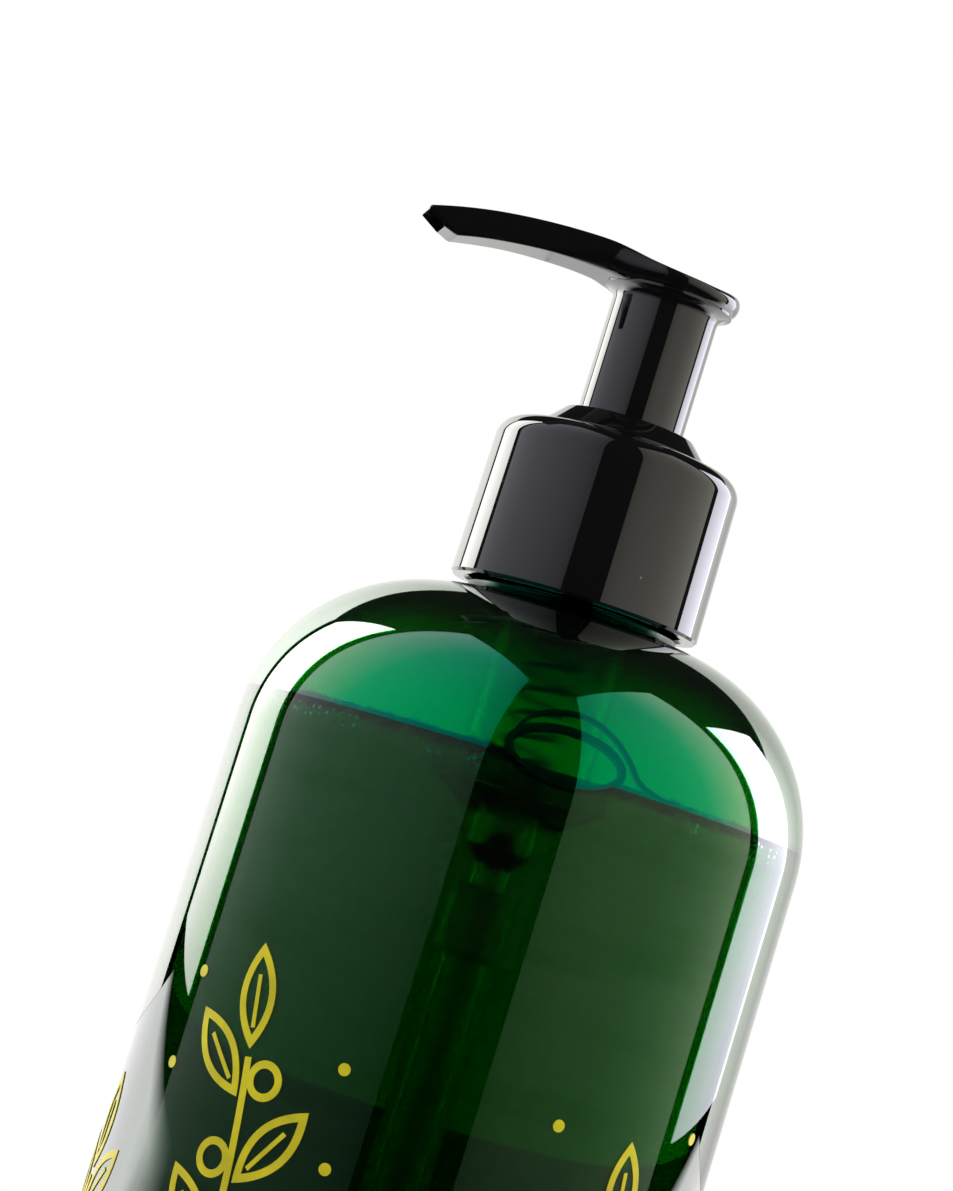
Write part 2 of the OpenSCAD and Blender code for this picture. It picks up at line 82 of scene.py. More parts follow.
class BottleSettings(bpy.types.PropertyGroup):
    body_d: length("Body diameter", "Outside diameter of the body", 72)
    rim_z: length("Rim height", "Height of the neck's rim above the table", 166)
    shoulder_r: length("Shoulder radius", "Radius of the round shoulder", 23.1)
    corner_r: length("Base corner", "Radius of the corner at the base", 4)
    push_up: length("Push-up", "Height of the hollow under the base", 5)
    foot_w: length("Foot width", "Width of the standing ring and its corner", 9)
    wall: length("Wall", "Thickness of the blown wall", 0.6)
    neck_h: length("Neck height", "Height of the neck above the shoulder", 17.7)
    neck_r: length("Neck radius", "Outside radius of the neck under the thread", 12.55)
    bore_r: length("Bore radius", "Radius of the neck's bore", 10.8)
    bead_r: length("Bead radius", "Radius of the bead under the collar", 13.5)
    bead_h: length("Bead height", "Height of the bead under the collar", 1.1)
    # The wall's mesh keeps one thickness. Between these heights only its colour darkens towards the neck,
    # standing in for thicker plastic there and partly for painted shade under the collar.
    thin_z: length("Thin wall height", "Height up to which the wall is thin", 136)
    thick_z: length("Thick wall height", "Height from which the wall is thick", 148)
    green: colour("Green", "Tint of one wall of the bottle", (0.004, 0.4, 0.035))
    sheen: colour("Dry sheen", "Tint of what the wall reflects above the soap", (0.0, 1.0, 0.75))
    wet_sheen: colour("Wet sheen", "Tint of what the wall reflects at the soap", (0.6, 0.75, 0.68))


class ThreadSettings(bpy.types.PropertyGroup):
    pitch: length("Pitch", "Rise of the thread in one turn", 4.23)
    turns: FloatProperty(name="Turns", description="Turns of thread", default=1.5, min=0.5, max=3)
    root_w: length("Root width", "Width of the ridge at its root", 2.2)
    crest_w: length("Crest width", "Width of the ridge at its crest", 1)
    neck_z: length("Neck thread height", "Height at which the neck's thread starts", 156.955)
    neck_depth: length("Neck thread depth", "Height of the ridge on the neck", 1.1)
    collar_z: length("Collar thread height", "Height at which the collar's thread starts", 155.155)
    collar_depth: length("Collar thread depth", "Height of the ridge in the collar", 0.9)


class SoapSettings(bpy.types.PropertyGroup):
    level_z: length("Level", "Height of the soap's surface above the table", 128.7)
    climb: length("Climb", "How far the soap climbs at the wall", 0.5)
    climb_w: length("Climb width", "Width of the band in which the soap climbs", 1.2)
    bubble_angle: bearing("Big bubble angle", "Place of the large bubble round the bottle", -5.4)
    bubble_w: length("Big bubble width", "Width of the large bubble", 13.4)
    bubble_h: length("Big bubble height", "Height of the large bubble", 6.0)
    bubble_z: length("Big bubble place", "Height of the large bubble's middle above the table", 130.1)
    bubbles: IntProperty(name="Bubbles", description="Small bubbles at the surface", default=150, min=0)
    specks: IntProperty(name="Specks", description="Fine bubbles below the surface", default=260, min=0)
    tint: colour("Tint", "Colour that the soap lets through", (0.0, 0.62, 0.08))
    strength: number("Strength", "How strongly the soap darkens, for each metre", 85)


class PrintSettings(bpy.types.PropertyGroup):
    line_w: length("Line width", "Width of a printed line", 0.9)
    leaf_len: length("Leaf length", "Length of a leaf", 12)
    leaf_w: length("Leaf width", "Width of a leaf", 5)
    fruit_d: length("Fruit diameter", "Diameter of a fruit", 4.6)
    twig_r: length("Twig radius", "Bend radius of a twig", 140)
    leaf_pairs: IntProperty(name="Leaf pairs", description="Pairs on the tallest twig", default=6, min=1)
    gap: length("Gap", "Distance from the wall to the ink", 0.02)
    thickness: length("Thickness", "Thickness of the ink", 0.08)
    ink: colour("Ink", "Colour of the ink", (0.5, 0.44, 0.004))


class PumpSettings(bpy.types.PropertyGroup):
    collar_z: length("Collar edge height", "Height of the collar's lower edge", 149.7)
    collar_r: length("Collar radius", "Outside radius at the collar's lower edge", 15.95)
    collar_top_r: length("Collar top radius", "Outside radius at the collar's top", 15.71)
    collar_in_r: length("Collar inner radius", "Inside radius of the collar", 13.85)
    collar_top_z: length("Collar top height", "Height of the collar's top", 170.7)
    collar_round: length("Collar rounding", "Rounding of the collar's top edge", 2.9)
    panel_z: length("Collar ceiling", "Height of the underside of the collar's top", 168.1)
    hole_r: length("Collar hole", "Radius of the hole in the collar's top", 8.8)
    ring_z: length("Ring height", "Height of the ring's lower face", 170.75)
    ring_rim_z: length("Ring rim height", "Height of the ring's upper rim", 173.65)
    ring_base_r: length("Ring base radius", "Radius of the ring on the collar", 10.75)
    ring_rim_r: length("Ring rim radius", "Radius of the ring's upper rim", 8.4)
    guide_r: length("Guide radius", "Inside radius of the guide", 6.9)
    guide_out_r: length("Guide outer radius", "Outside radius of the guide", 7.75)
    guide_low_z: length("Guide end", "Height of the guide's lower end", 164.03)
    black: colour("Black", "Colour of the black plastic", (0.0035, 0.0035, 0.004))


class HeadSettings(bpy.types.PropertyGroup):
    sleeve_r: length("Sleeve radius", "Outside radius of the sleeve", 6.8)
    sleeve_wall: length("Sleeve wall", "Wall of the sleeve", 0.9)
    sleeve_z: length("Sleeve end", "Height of the sleeve's lower end", 162.78)
    lip_r: length("Lip radius", "Radius of the lip at the sleeve's lower end", 7.35)
    lip_h: length("Lip height", "Height of that lip", 1.2)
    head_z: length("Sleeve top", "Height at which the fillet under the pad starts", 188.67)
    fillet: length("Fillet", "Fillet between the sleeve and the pad", 1.5)
    pad_r: length("Pad radius", "Radius of the thumb pad", 8.87)
    pad_z: length("Pad height", "Height of the pad's underside", 190.17)
    pad_t: length("Pad thickness", "Thickness of the pad at its rim", 3.5)
    saddle_z: length("Saddle height", "Height of the saddle's lowest line", 192.36)
    saddle_x: length("Saddle place", "Distance of that line behind the axis", 2.3)
    saddle_r: length("Saddle radius", "Radius of the saddle towards the spout", 32)
    heel_r: length("Heel radius", "Radius of the saddle behind its lowest line", 14.4)
    reach: length("Reach", "Reach of the spout from the axis", 32.6)
    spout_w: length("Spout width", "Width of the spout where its flare starts", 6.6)
    tip_w: length("Tip width", "Width of the spout at its tip", 6)
    crown_x: length("Crown place", "Distance from the axis to the spout's crown", 13)
    crown_z: length("Crown height", "Height of the underside at the crown", 190.69)
    spout_r: length("Spout arc", "Radius of the spout's underside", 61)
    spout_t: length("Spout thickness", "Thickness of the spout", 3.6)
    flare_r: length("Flare radius", "Radius of the flare between spout and pad", 45)
    edge: length("Edge", "Rounding of the spout's long edges", 0.3)
    pad_edge: length("Pad edge", "Rounding of the pad's edges", 1.7)
    mouth_w: length("Mouth width", "Width of the spout's mouth", 5)
    mouth_lip: length("Mouth lip", "Wall below the mouth", 1.05)
    mouth_roof: length("Mouth roof", "Wall above the mouth", 0.5)
    mouth_depth: length("Mouth depth", "How far the open channel runs back", 24)
    socket_z: length("Socket end", "Height of the socket's lower end", 178.07)
    socket_r: length("Socket radius", "Outside radius of the socket", 4.3)
    socket_bore_r: length("Socket bore", "Radius of the socket's bore", 3.05)
    socket_top_z: length("Socket top", "Height of the bore's end", 188.37)


class StudioSettings(bpy.types.PropertyGroup):
    azimuth: bearing("Azimuth", "Camera's angle round the bottle", -12.4)
    distance: length("Distance", "Camera's distance from the axis", 361.5)
    height: length("Camera height", "Camera's height above the table", 115.2)
    pitch: bearing("Pitch", "Camera's upward tilt", 5.15)
    yaw: bearing("Yaw", "Camera's turn to the left of the axis", 1.892)
    roll: bearing("Roll", "Lean of the bottle in the picture", 17.35)
    lens: FloatProperty(name="Lens", description="Focal length on a 36 mm sensor", default=88.29,
                        unit="CAMERA")
    front_light: number("Front light", "Brightness of the two front panels", 1)
    side_light: number("Side light", "Brightness of the two side strips", 8.3)
    back_light: number("Back light", "Brightness of the backdrop at its edges", 3.4)
    # Strength of the table's painted glow, seen only in reflections and through clear things.
    floor_light: number("Floor light", "Brightness of the table behind the bottle", 0.9)


def settings(name):
    """The settings group of that name."""
    return getattr(bpy.context.scene, "soap_" + name)


# Shapes

def arc(centre, radius, start, end, steps):
    """Points of an arc in a section, from one angle to another in degrees."""
    points = []
    for k in range(steps + 1):
        angle = math.radians(start + (end - start) * k / steps)
        points.append((centre[0] + radius * math.cos(angle), centre[1] + radius * math.sin(angle)))
    return points


def line(start, end, steps):
    """Points between two points of a section, both left out."""
    a = Vector(start)
    b = Vector(end)
    return [tuple(a.lerp(b, k / steps)) for k in range(1, steps)]


def smooth_step(low, high, value):
    """Rises smoothly from 0 to 1."""
    t = min(1, max(0, (value - low) / (high - low)))
    return t * t * (3 - 2 * t)


def rounded(corners, steps=5):
    """Closed section from corners (r, z, fillet)."""
    points = []
    count = len(corners)
    for i, (r, z, fillet) in enumerate(corners):
        here = Vector((r, z))
        if fillet <= 0:
            points.append((r, z))
            continue
        back = (Vector(corners[i - 1][:2]) - here).normalized()
        ahead = (Vector(corners[(i + 1) % count][:2]) - here).normalized()
        half = back.angle(ahead) / 2
        centre = here + (back + ahead).normalized() * (fillet / math.sin(half))
        start = here + back * (fillet / math.tan(half)) - centre
        end = here + ahead * (fillet / math.tan(half)) - centre
        for k in range(steps + 1):
            points.append(tuple(centre + start.slerp(end, k / steps) * fillet))
    return points


def skin(mesh, low, high):
    """Faces between two rings of vertices. A ring of one vertex is a pole."""
    sides = max(len(low), len(high))
    for k in range(sides):
        after = k + 1
        around = [low[k % len(low)], low[after % len(low)], high[after % len(high)], high[k % len(high)]]
        corners = list(dict.fromkeys(around))
        if len(corners) > 2:
            mesh.faces.new(corners)


def face_outward(mesh):
    """Turns the faces of closed shells outwards."""
    bmesh.ops.recalc_face_normals(mesh, faces=mesh.faces)


def turned(section, sides, move=None):
    """Turns a closed section round Z. move(r, z, angle) may shift a point of it."""
    mesh = bmesh.new()
    rings = []
    for r, z in section:
        if r < TINY:
            rings.append([mesh.verts.new((0, 0, z))])
            continue
        ring = []
        for k in range(sides):
            angle = 2 * math.pi * k / sides
            new_r, new_z = move(r, z, angle) if move else (r, z)
            ring.append(mesh.verts.new((new_r * math.cos(angle), new_r * math.sin(angle), new_z)))
        rings.append(ring)
    for low, high in zip(rings, rings[1:] + rings[:1]):
        skin(mesh, low, high)
    face_outward(mesh)
    return mesh


def ridge(start_z, z, angle):
    """Height of the thread at a point of the wall, from 0 to 1."""
    t = settings("thread")
    whole = 2 * math.pi * t.turns
    best = 0
    for lap in range(math.ceil(t.turns) + 1):
        run = angle + 2 * math.pi * lap
        if run > whole:
            break
        away = abs(z - start_z - t.pitch * run / (2 * math.pi))
        slope = (t.root_w / 2 - away) / ((t.root_w - t.crest_w) / 2)
        fade = min(1, min(run, whole - run) * 2)
        best = max(best, min(1, max(0, slope)) * fade)
    return best


def show(data):
    """Makes an object of a mesh, lamp or camera, with its name, and puts it in the scene."""
    thing = bpy.data.objects.new(data.name, data)
    bpy.context.scene.collection.objects.link(thing)
    return thing


def mesh_object(name, mesh, material):
    """Makes an object of a mesh, in one material."""
    data = bpy.data.meshes.new(name)
    mesh.to_mesh(data)
    mesh.free()
    data.materials.append(material)
    return show(data)


def piece(name, mesh, material, body, nodes, sharp=32):
    """Makes an object of a mesh, which rides on a body and stands for its CAD nodes."""
    thing = mesh_object(name, mesh, material)
    data = thing.data
    data.polygons.foreach_set("use_smooth", [True] * len(data.polygons))
    data.set_sharp_from_angle(angle=math.radians(sharp))
    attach(thing, body)
    if nodes:
        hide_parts(*nodes)
    return thing


# Finishes

class Nodes:
    """Short ways to add nodes to a material, lamp or world."""

    def __init__(self, owner):
        owner.use_nodes = True
        self.tree = owner.node_tree

    def add(self, kind, **values):
        """New node. Values go to its inputs by name, with _ for a space."""
        node = self.tree.nodes.new(kind)
        for key, value in values.items():
            node.inputs[key.replace("_", " ")].default_value = value
        return node

    def link(self, start, end):
        """Joins an output to an input."""
        self.tree.links.new(start, end)

    def feed(self, socket, value):
        """Gives a socket a number, a colour or an output."""
        if isinstance(value, bpy.types.NodeSocket):
            self.link(value, socket)
        elif isinstance(value, tuple):
            socket.default_value = (*value, 1)
        else:
            socket.default_value = value

    def span(self, output, low, high, start=0.0, end=1.0):
        """Maps a value from start..end to low..high."""
        node = self.add("ShaderNodeMapRange", From_Min=start, From_Max=end, To_Min=low, To_Max=high)
        self.link(output, node.inputs["Value"])
        return node.outputs["Result"]

    def blend(self, output, first, second):
        """Colour between two colours, each a constant or an output."""
        node = self.tree.nodes.new("ShaderNodeMix")
        node.data_type = "RGBA"
        self.feed(node.inputs["A"], first)
        self.feed(node.inputs["B"], second)
        self.link(output, node.inputs["Factor"])
        return node.outputs["Result"]

    def sum(self, operation, first, second):
        """Result of a sum of two outputs or numbers."""
        node = self.tree.nodes.new("ShaderNodeMath")
        node.operation = operation
        self.feed(node.inputs[0], first)
        self.feed(node.inputs[1], second)
        return node.outputs["Value"]

    def times(self, first, *others):
        """Product of outputs or numbers."""
        for other in others:
            first = self.sum("MULTIPLY", first, other)
        return first

    def most(self, first, *others):
        """The highest of outputs or numbers."""
        for other in others:
            first = self.sum("MAXIMUM", first, other)
        return first


class Finish(Nodes):
    """A material with one Principled shader, and ways to vary it over an object."""

    def __init__(self, name, base, roughness, ior=1.5, clear=0.0):
        self.material = bpy.data.materials.new(name)
        super().__init__(self.material)
        self.shader = self.tree.nodes["Principled BSDF"]
        self.put("Base Color", (*base, 1))
        self.put("Roughness", roughness)
        self.put("IOR", ior)
        self.put("Transmission Weight", clear)
        self.place = self.add("ShaderNodeTexCoord").outputs["Object"]

    def put(self, socket, value):
        """Sets a constant on the shader's own socket."""
        self.shader.inputs[socket].default_value = value

    def drive(self, socket, output):
        """Feeds a socket of the shader from a node."""
        self.link(output, self.shader.inputs[socket])

    def noise(self, scale, detail=3.0, stretch=WHITE):
        """Noise in the object's own place, stretched along its axes."""
        shape = self.add("ShaderNodeMapping", Scale=stretch)
        self.link(self.place, shape.inputs["Vector"])
        node = self.add("ShaderNodeTexNoise", Scale=scale, Detail=detail)
        self.link(shape.outputs["Vector"], node.inputs["Vector"])
        return node.outputs["Fac"]

    def cells(self, scale):
        """Distance from the middle of the nearest of many scattered cells."""
        node = self.add("ShaderNodeTexVoronoi", Scale=scale)
        self.link(self.place, node.inputs["Vector"])
        return node.outputs["Distance"]

    def reach(self, way):
        """Distance along a direction in the object's own place."""
        node = self.add("ShaderNodeVectorMath")
        node.operation = "DOT_PRODUCT"
        node.inputs[1].default_value = way
        self.link(self.place, node.inputs[0])
        return node.outputs["Value"]

    def bump(self, output, height, strength=1.0):
        """Raises the surface by a height in metres."""
        node = self.add("ShaderNodeBump", Strength=strength, Distance=height)
        self.link(output, node.inputs["Height"])
        self.link(node.outputs["Normal"], self.shader.inputs["Normal"])


def shade(base, factor):
    """A colour times a factor."""
    return tuple(channel * factor for channel in base)


def bubble_ellipse(finish, height):
    """1 where the large bubble touches the front wall, 0 elsewhere."""
    soap = settings("soap")
    turn = soap.bubble_angle
    half_w = soap.bubble_w / 2
    half_h = soap.bubble_h / 2
    sideways = finish.reach((math.cos(turn), math.sin(turn), 0))
    forward = finish.reach((math.sin(turn), -math.cos(turn), 0))
    across = finish.span(sideways, -1.0, 1.0, -half_w, half_w)
    upward = finish.span(height, -1.0, 1.0, soap.bubble_z - half_h, soap.bubble_z + half_h)
    away = finish.sum("ADD", finish.times(across, across), finish.times(upward, upward))
    inside = finish.span(away, 1.0, 0.0, 0.9, 1.0)
    return finish.times(inside, finish.sum("GREATER_THAN", forward, 0))


def wall_bubbles(finish, height, level_z):
    """1 on the small bubbles that sit in clusters on the wall just below the soap's line."""
    discs = finish.span(finish.cells(1100), 1.0, 0.0, 0.2, 0.3)
    clusters = finish.span(finish.noise(170, 2.0, (1, 1, 0.4)), 0.0, 1.0, 0.53, 0.58)
    below = finish.span(height, 1.0, 0.0, level_z - 0.7 * MM, level_z - 0.4 * MM)
    above = finish.span(height, 0.0, 1.0, level_z - 2.8 * MM, level_z - 2.2 * MM)
    return finish.times(discs, clusters, below, above)


def blown_green():
    """Clear green blown plastic, wet or dry inside.

    Where air touches its inner face it mirrors more. A dark band of painted shade marks the soap's line,
    where the meniscus looks dark.
    """
    bottle = settings("bottle")
    level_z = settings("soap").level_z
    green = bottle.green
    finish = Finish("green_wall", green, 0.0, clear=1.0)
    axes = finish.add("ShaderNodeSeparateXYZ")
    finish.link(finish.place, axes.inputs[0])
    height = axes.outputs["Z"]
    ellipse = bubble_ellipse(finish, height)
    above = finish.sum("GREATER_THAN", height, level_z)
    dry = finish.most(above, ellipse, wall_bubbles(finish, height, level_z))
    finish.drive("IOR", finish.span(dry, 1.5, 2.0))
    facing = finish.add("ShaderNodeLayerWeight", Blend=0.5).outputs["Facing"]
    streaks = finish.span(finish.noise(45, 5.0, (0.5, 0.5, 5)), 1.0, 0.0, 0.5, 0.72)
    wet = finish.blend(streaks, shade(bottle.wet_sheen, 0.66), tuple(bottle.wet_sheen))
    sheen = finish.blend(dry, wet, tuple(bottle.sheen))
    grazing = finish.span(facing, 0.0, 1.0, 0.27, 0.48)
    finish.drive("Specular Tint", finish.blend(grazing, sheen, WHITE))
    # Darker towards the neck: stands in for the thicker plastic near the neck and partly painted shade under
    # the collar.
    thick = finish.span(height, 0.0, 1.0, bottle.thin_z, bottle.thick_z)
    # Painted shade: a ragged dark band in the wall's colour round the soap's line stands in for the dark
    # look of the meniscus.
    ragged = finish.span(finish.noise(700, 3.0), -0.5 * MM, 0.5 * MM, 0.3, 0.7)
    above_line = finish.sum("SUBTRACT", finish.sum("ADD", height, ragged), level_z - 0.15 * MM)
    depth = finish.sum("ABSOLUTE", above_line, 0)
    meniscus_shade = finish.span(depth, 0.85, 0.0, 0.35 * MM, 0.85 * MM)
    meniscus_shade = finish.times(meniscus_shade, finish.span(ellipse, 1.0, 0.0))
    rim = finish.span(facing, 0.0, 0.97, 0.42, 0.62)
    darker = finish.most(thick, meniscus_shade, rim)
    finish.drive("Base Color", finish.blend(darker, tuple(green), shade(green, 0.12)))
    finish.bump(finish.noise(60, 2.0, (1, 1, 0.25)), 0.05 * MM, 0.5)
    finish.drive("Roughness", finish.span(finish.noise(900, 2.0), 0.0, 0.02, 0.45, 0.75))
    return finish.material


def dark_soap():
    """Dark green-brown soap that light barely crosses."""
    soap = settings("soap")
    finish = Finish("dark_soap", WHITE, 0.0, ior=1.36, clear=1.0)
    finish.drive("Base Color", finish.blend(finish.noise(40), (0.9, 0.97, 0.9), WHITE))
    volume = finish.tree.nodes.new("ShaderNodeVolumeAbsorption")
    volume.inputs["Color"].default_value = (*soap.tint, 1)
    volume.inputs["Density"].default_value = soap.strength
    finish.link(volume.outputs["Volume"], finish.tree.nodes["Material Output"].inputs["Volume"])
    return finish.material


def painted_dark_rim():
    """Soap gathered in a rim, painted an opaque dark green: painted shade standing in for the dark look of
    the curved liquid.
    """
    finish = Finish("soap_rim_painted_shade", (0.0, 0.05, 0.012), 0.25, ior=1.36)
    finish.drive("Base Color", finish.blend(finish.noise(900), (0.0, 0.03, 0.008), (0.0, 0.09, 0.02)))
    return finish.material


def screen_ink():
    """Mustard screen ink: matt, a little uneven, with pinholes."""
    ink = settings("print").ink
    finish = Finish("screen_ink", ink, 0.45)
    finish.put("Specular IOR Level", 0.25)
    cloudy = finish.span(finish.noise(250, 5.0), 0.0, 1.0, 0.3, 0.7)
    finish.drive("Base Color", finish.blend(cloudy, shade(ink, 0.82), shade(ink, 1.12)))
    finish.drive("Roughness", finish.span(finish.noise(1500), 0.36, 0.55))
    finish.bump(finish.noise(6000, 2.0), 0.01 * MM, 0.6)
    return finish.material


def polished_black():
    """Polished black plastic with faint flow marks and specks of dust."""
    black = settings("pump").black
    finish = Finish("polished_black", black, 0.03, ior=1.55)
    speck = finish.span(finish.cells(420), 1.0, 0.0, 0.045, 0.075)
    sparse = finish.span(finish.noise(160, 1.0), 0.0, 1.0, 0.66, 0.7)
    dust = finish.times(speck, sparse)
    finish.drive("Base Color", finish.blend(dust, tuple(black), (0.16, 0.16, 0.16)))
    finish.drive("Roughness", finish.span(finish.noise(120, 4.0), 0.015, 0.05, 0.3, 0.7))
    finish.bump(finish.noise(45, 2.0), 0.01 * MM, 0.25)
    return finish.material


def milky_plastic():
    """Natural plastic of the pump's inner parts: milky and half clear."""
    finish = Finish("milky_plastic", (0.9, 0.93, 0.88), 0.08, ior=1.49, clear=0.96)
    cloudy = finish.noise(300, 4.0)
    finish.drive("Base Color", finish.blend(cloudy, (0.8, 0.85, 0.78), (0.92, 0.95, 0.9)))
    finish.drive("Roughness", finish.span(cloudy, 0.16, 0.3))
    finish.bump(finish.noise(900), 0.01 * MM, 0.2)
    return finish.material


def white_seal():
    """White seal plastic with a fine matt grain."""
    finish = Finish("white_seal", (0.8, 0.82, 0.82), 0.4)
    finish.drive("Base Color", finish.blend(finish.noise(500), (0.74, 0.76, 0.76), (0.86, 0.88, 0.88)))
    finish.drive("Roughness", finish.span(finish.noise(1200), 0.3, 0.5))
    finish.bump(finish.noise(2500), 0.01 * MM, 0.5)
    return finish.material


def foam_sheet():
    """Foamed sheet with open cells, with painted shade in the cells' hollows."""
    finish = Finish("foam_sheet", (0.78, 0.78, 0.74), 0.8)
    depth = finish.cells(3500)
    # Painted shade: the colour darkens towards each cell's middle, where the bump sinks it.
    finish.drive("Base Color", finish.blend(depth, (0.6, 0.6, 0.56), (0.84, 0.84, 0.8)))
    finish.bump(depth, 0.05 * MM, 0.8)
    return finish.material


def drawn_steel():
    """Drawn stainless steel with fine marks."""
    finish = Finish("drawn_steel", (0.56, 0.56, 0.55), 0.2)
    finish.put("Metallic", 1.0)
    marks = finish.noise(2500, 4.0, (1, 1, 0.2))
    finish.drive("Roughness", finish.span(marks, 0.12, 0.32))
    finish.drive("Base Color", finish.blend(marks, (0.5, 0.5, 0.49), (0.62, 0.62, 0.61)))
    return finish.material


# Bottle

def wall_section(bottle, off, base_off):
    """Points of the blown wall from the axis at the base to the top of the shoulder, moved inwards."""
    body_r = bottle.body_d / 2
    dome_edge = body_r - bottle.foot_w
    dome_r = (dome_edge ** 2 + bottle.push_up ** 2) / (2 * bottle.push_up)
    dome_z = bottle.push_up - dome_r
    top_r = dome_r + base_off
    edge = math.degrees(math.acos((base_off - dome_z) / top_r))
    shoulder_z = bottle.rim_z - bottle.neck_h - bottle.shoulder_r
    shoulder_in = body_r - bottle.shoulder_r
    corner = (body_r - bottle.corner_r, bottle.corner_r)
    low = (body_r - off, corner[1])
    high = (body_r - off, shoulder_z)
    dome = arc((0, dome_z), top_r, 90, 90 - edge, 24)
    dome[0] = (0, dome_z + top_r)
    bend = arc(corner, bottle.corner_r - off, -90, 0, 10)
    bend[0] = (corner[0], off)
    shoulder = arc((shoulder_in, shoulder_z), bottle.shoulder_r - off, 0, 90, 48)
    return dome + bend + line(low, high, 24) + shoulder


def inner_wall(z):
    """Radius of the bottle's inner face at a height between its base corner and the neck."""
    bottle = settings("bottle")
    rise = max(0, z - (bottle.rim_z - bottle.neck_h - bottle.shoulder_r))
    bend = bottle.shoulder_r - bottle.wall
    return bottle.body_d / 2 - bottle.shoulder_r + math.sqrt(bend ** 2 - rise ** 2)


def build_bottle():
    """One blown shell with its neck, bead and thread."""
    bottle = settings("bottle")
    thread = settings("thread")
    shoulder_top = bottle.rim_z - bottle.neck_h
    bead_z = shoulder_top + bottle.bead_h
    rim = 0.5 * MM
    outer = wall_section(bottle, 0, 0)
    while outer[-1][0] < bottle.bead_r:
        outer.pop()
    inner = wall_section(bottle, bottle.wall, 1.5 * bottle.wall)
    round_r = 0.22 * MM
    bead = [(bottle.bead_r, shoulder_top + round_r + 0.1 * MM)]
    bead += arc((bottle.bead_r - round_r, bead_z - round_r), round_r, 0, 90, 4)
    root = (bottle.neck_r, bead_z)
    top = (bottle.neck_r, bottle.rim_z - rim)
    neck = [root] + line(root, top, 64) + arc((bottle.neck_r - rim, bottle.rim_z - rim), rim, 0, 90, 5)
    bore = arc((bottle.bore_r + rim, bottle.rim_z - rim), rim, 90, 180, 5)
    throat = (bottle.bore_r, shoulder_top - bottle.wall)
    bore += line(bore[-1], throat, 8) + [throat]
    section = outer + bead + neck + bore + list(reversed(inner))

    def with_thread(r, z, angle):
        if abs(r - bottle.neck_r) < TINY and bead_z < z < bottle.rim_z - rim:
            return r + thread.neck_depth * ridge(thread.neck_z, z, angle), z
        return r, z

    mesh = turned(section, 192, with_thread)
    piece("bottle_shell", mesh, blown_green(), "bottle", ["bottle"], sharp=40)


# Soap

def soap_surface(x, y, z):
    """Height of the soap's surface: it climbs at the wall and round the pump, and dips in the big bubble."""
    soap = settings("soap")
    wall_r = inner_wall(soap.level_z)
    r = math.hypot(x, y)
    climb = math.exp(-2 * max(0, wall_r - r) / soap.climb_w)
    climb += 0.7 * math.exp(-2 * max(0, r - 8.2 * MM) / soap.climb_w)
    middle = Vector((math.sin(soap.bubble_angle), -math.cos(soap.bubble_angle))) * wall_r
    across = (Vector((x, y)) - middle).length / (soap.bubble_w / 2)
    dip = math.sqrt(max(0, 1 - across ** 2))
    depth = soap.bubble_h / 2 - (soap.bubble_z - soap.level_z)
    return z + soap.climb * climb * (1 - smooth_step(0, 0.7, dip)) - depth * smooth_step(0, 1, dip)


def hollow_ball(mesh, centre, radius, detail):
    """Adds an inward-facing ball: a bubble inside the soap."""
    spot = Matrix.Translation(centre)
    made = bmesh.ops.create_icosphere(mesh, subdivisions=detail, radius=radius, matrix=spot)
    faces = set()
    for vertex in made["verts"]:
        faces.update(vertex.link_faces)
    bmesh.ops.reverse_faces(mesh, faces=list(faces))


CLUSTERS = (-50, -38, -24, -20, 12, 21, 37, 52, 90, 140, 190, 230, 275)
RADII = (0.14, 0.18, 0.24, 0.32)


def scatter_bubbles(mesh):
    """Small bubbles against the wall at the soap's surface, and finer ones below it."""
    soap = settings("soap")
    chance = random.Random(7)
    clusters = [math.radians(degrees) for degrees in CLUSTERS]
    for _ in range(soap.bubbles):
        radius = chance.choice(RADII) * MM
        angle = chance.choice(clusters) + chance.gauss(0, 0.05)
        depth = radius + 0.5 * MM + abs(chance.gauss(0, 0.9)) * MM
        reach = inner_wall(soap.level_z - depth) - radius + 0.1 * MM
        centre = Vector((reach * math.sin(angle), -reach * math.cos(angle), soap.level_z - depth))
        if abs(angle - soap.bubble_angle) > math.radians(14):
            hollow_ball(mesh, centre, radius, 3)
    for _ in range(soap.specks):
        radius = chance.uniform(0.05, 0.1) * MM
        angle = chance.uniform(-math.pi, math.pi)
        depth = 3.5 * MM + abs(chance.gauss(0, 12)) * MM
        reach = inner_wall(soap.level_z - depth) - radius - chance.uniform(0.03, 0.3) * MM
        centre = Vector((reach * math.sin(angle), -reach * math.cos(angle), soap.level_z - depth))
        hollow_ball(mesh, centre, radius, 1)


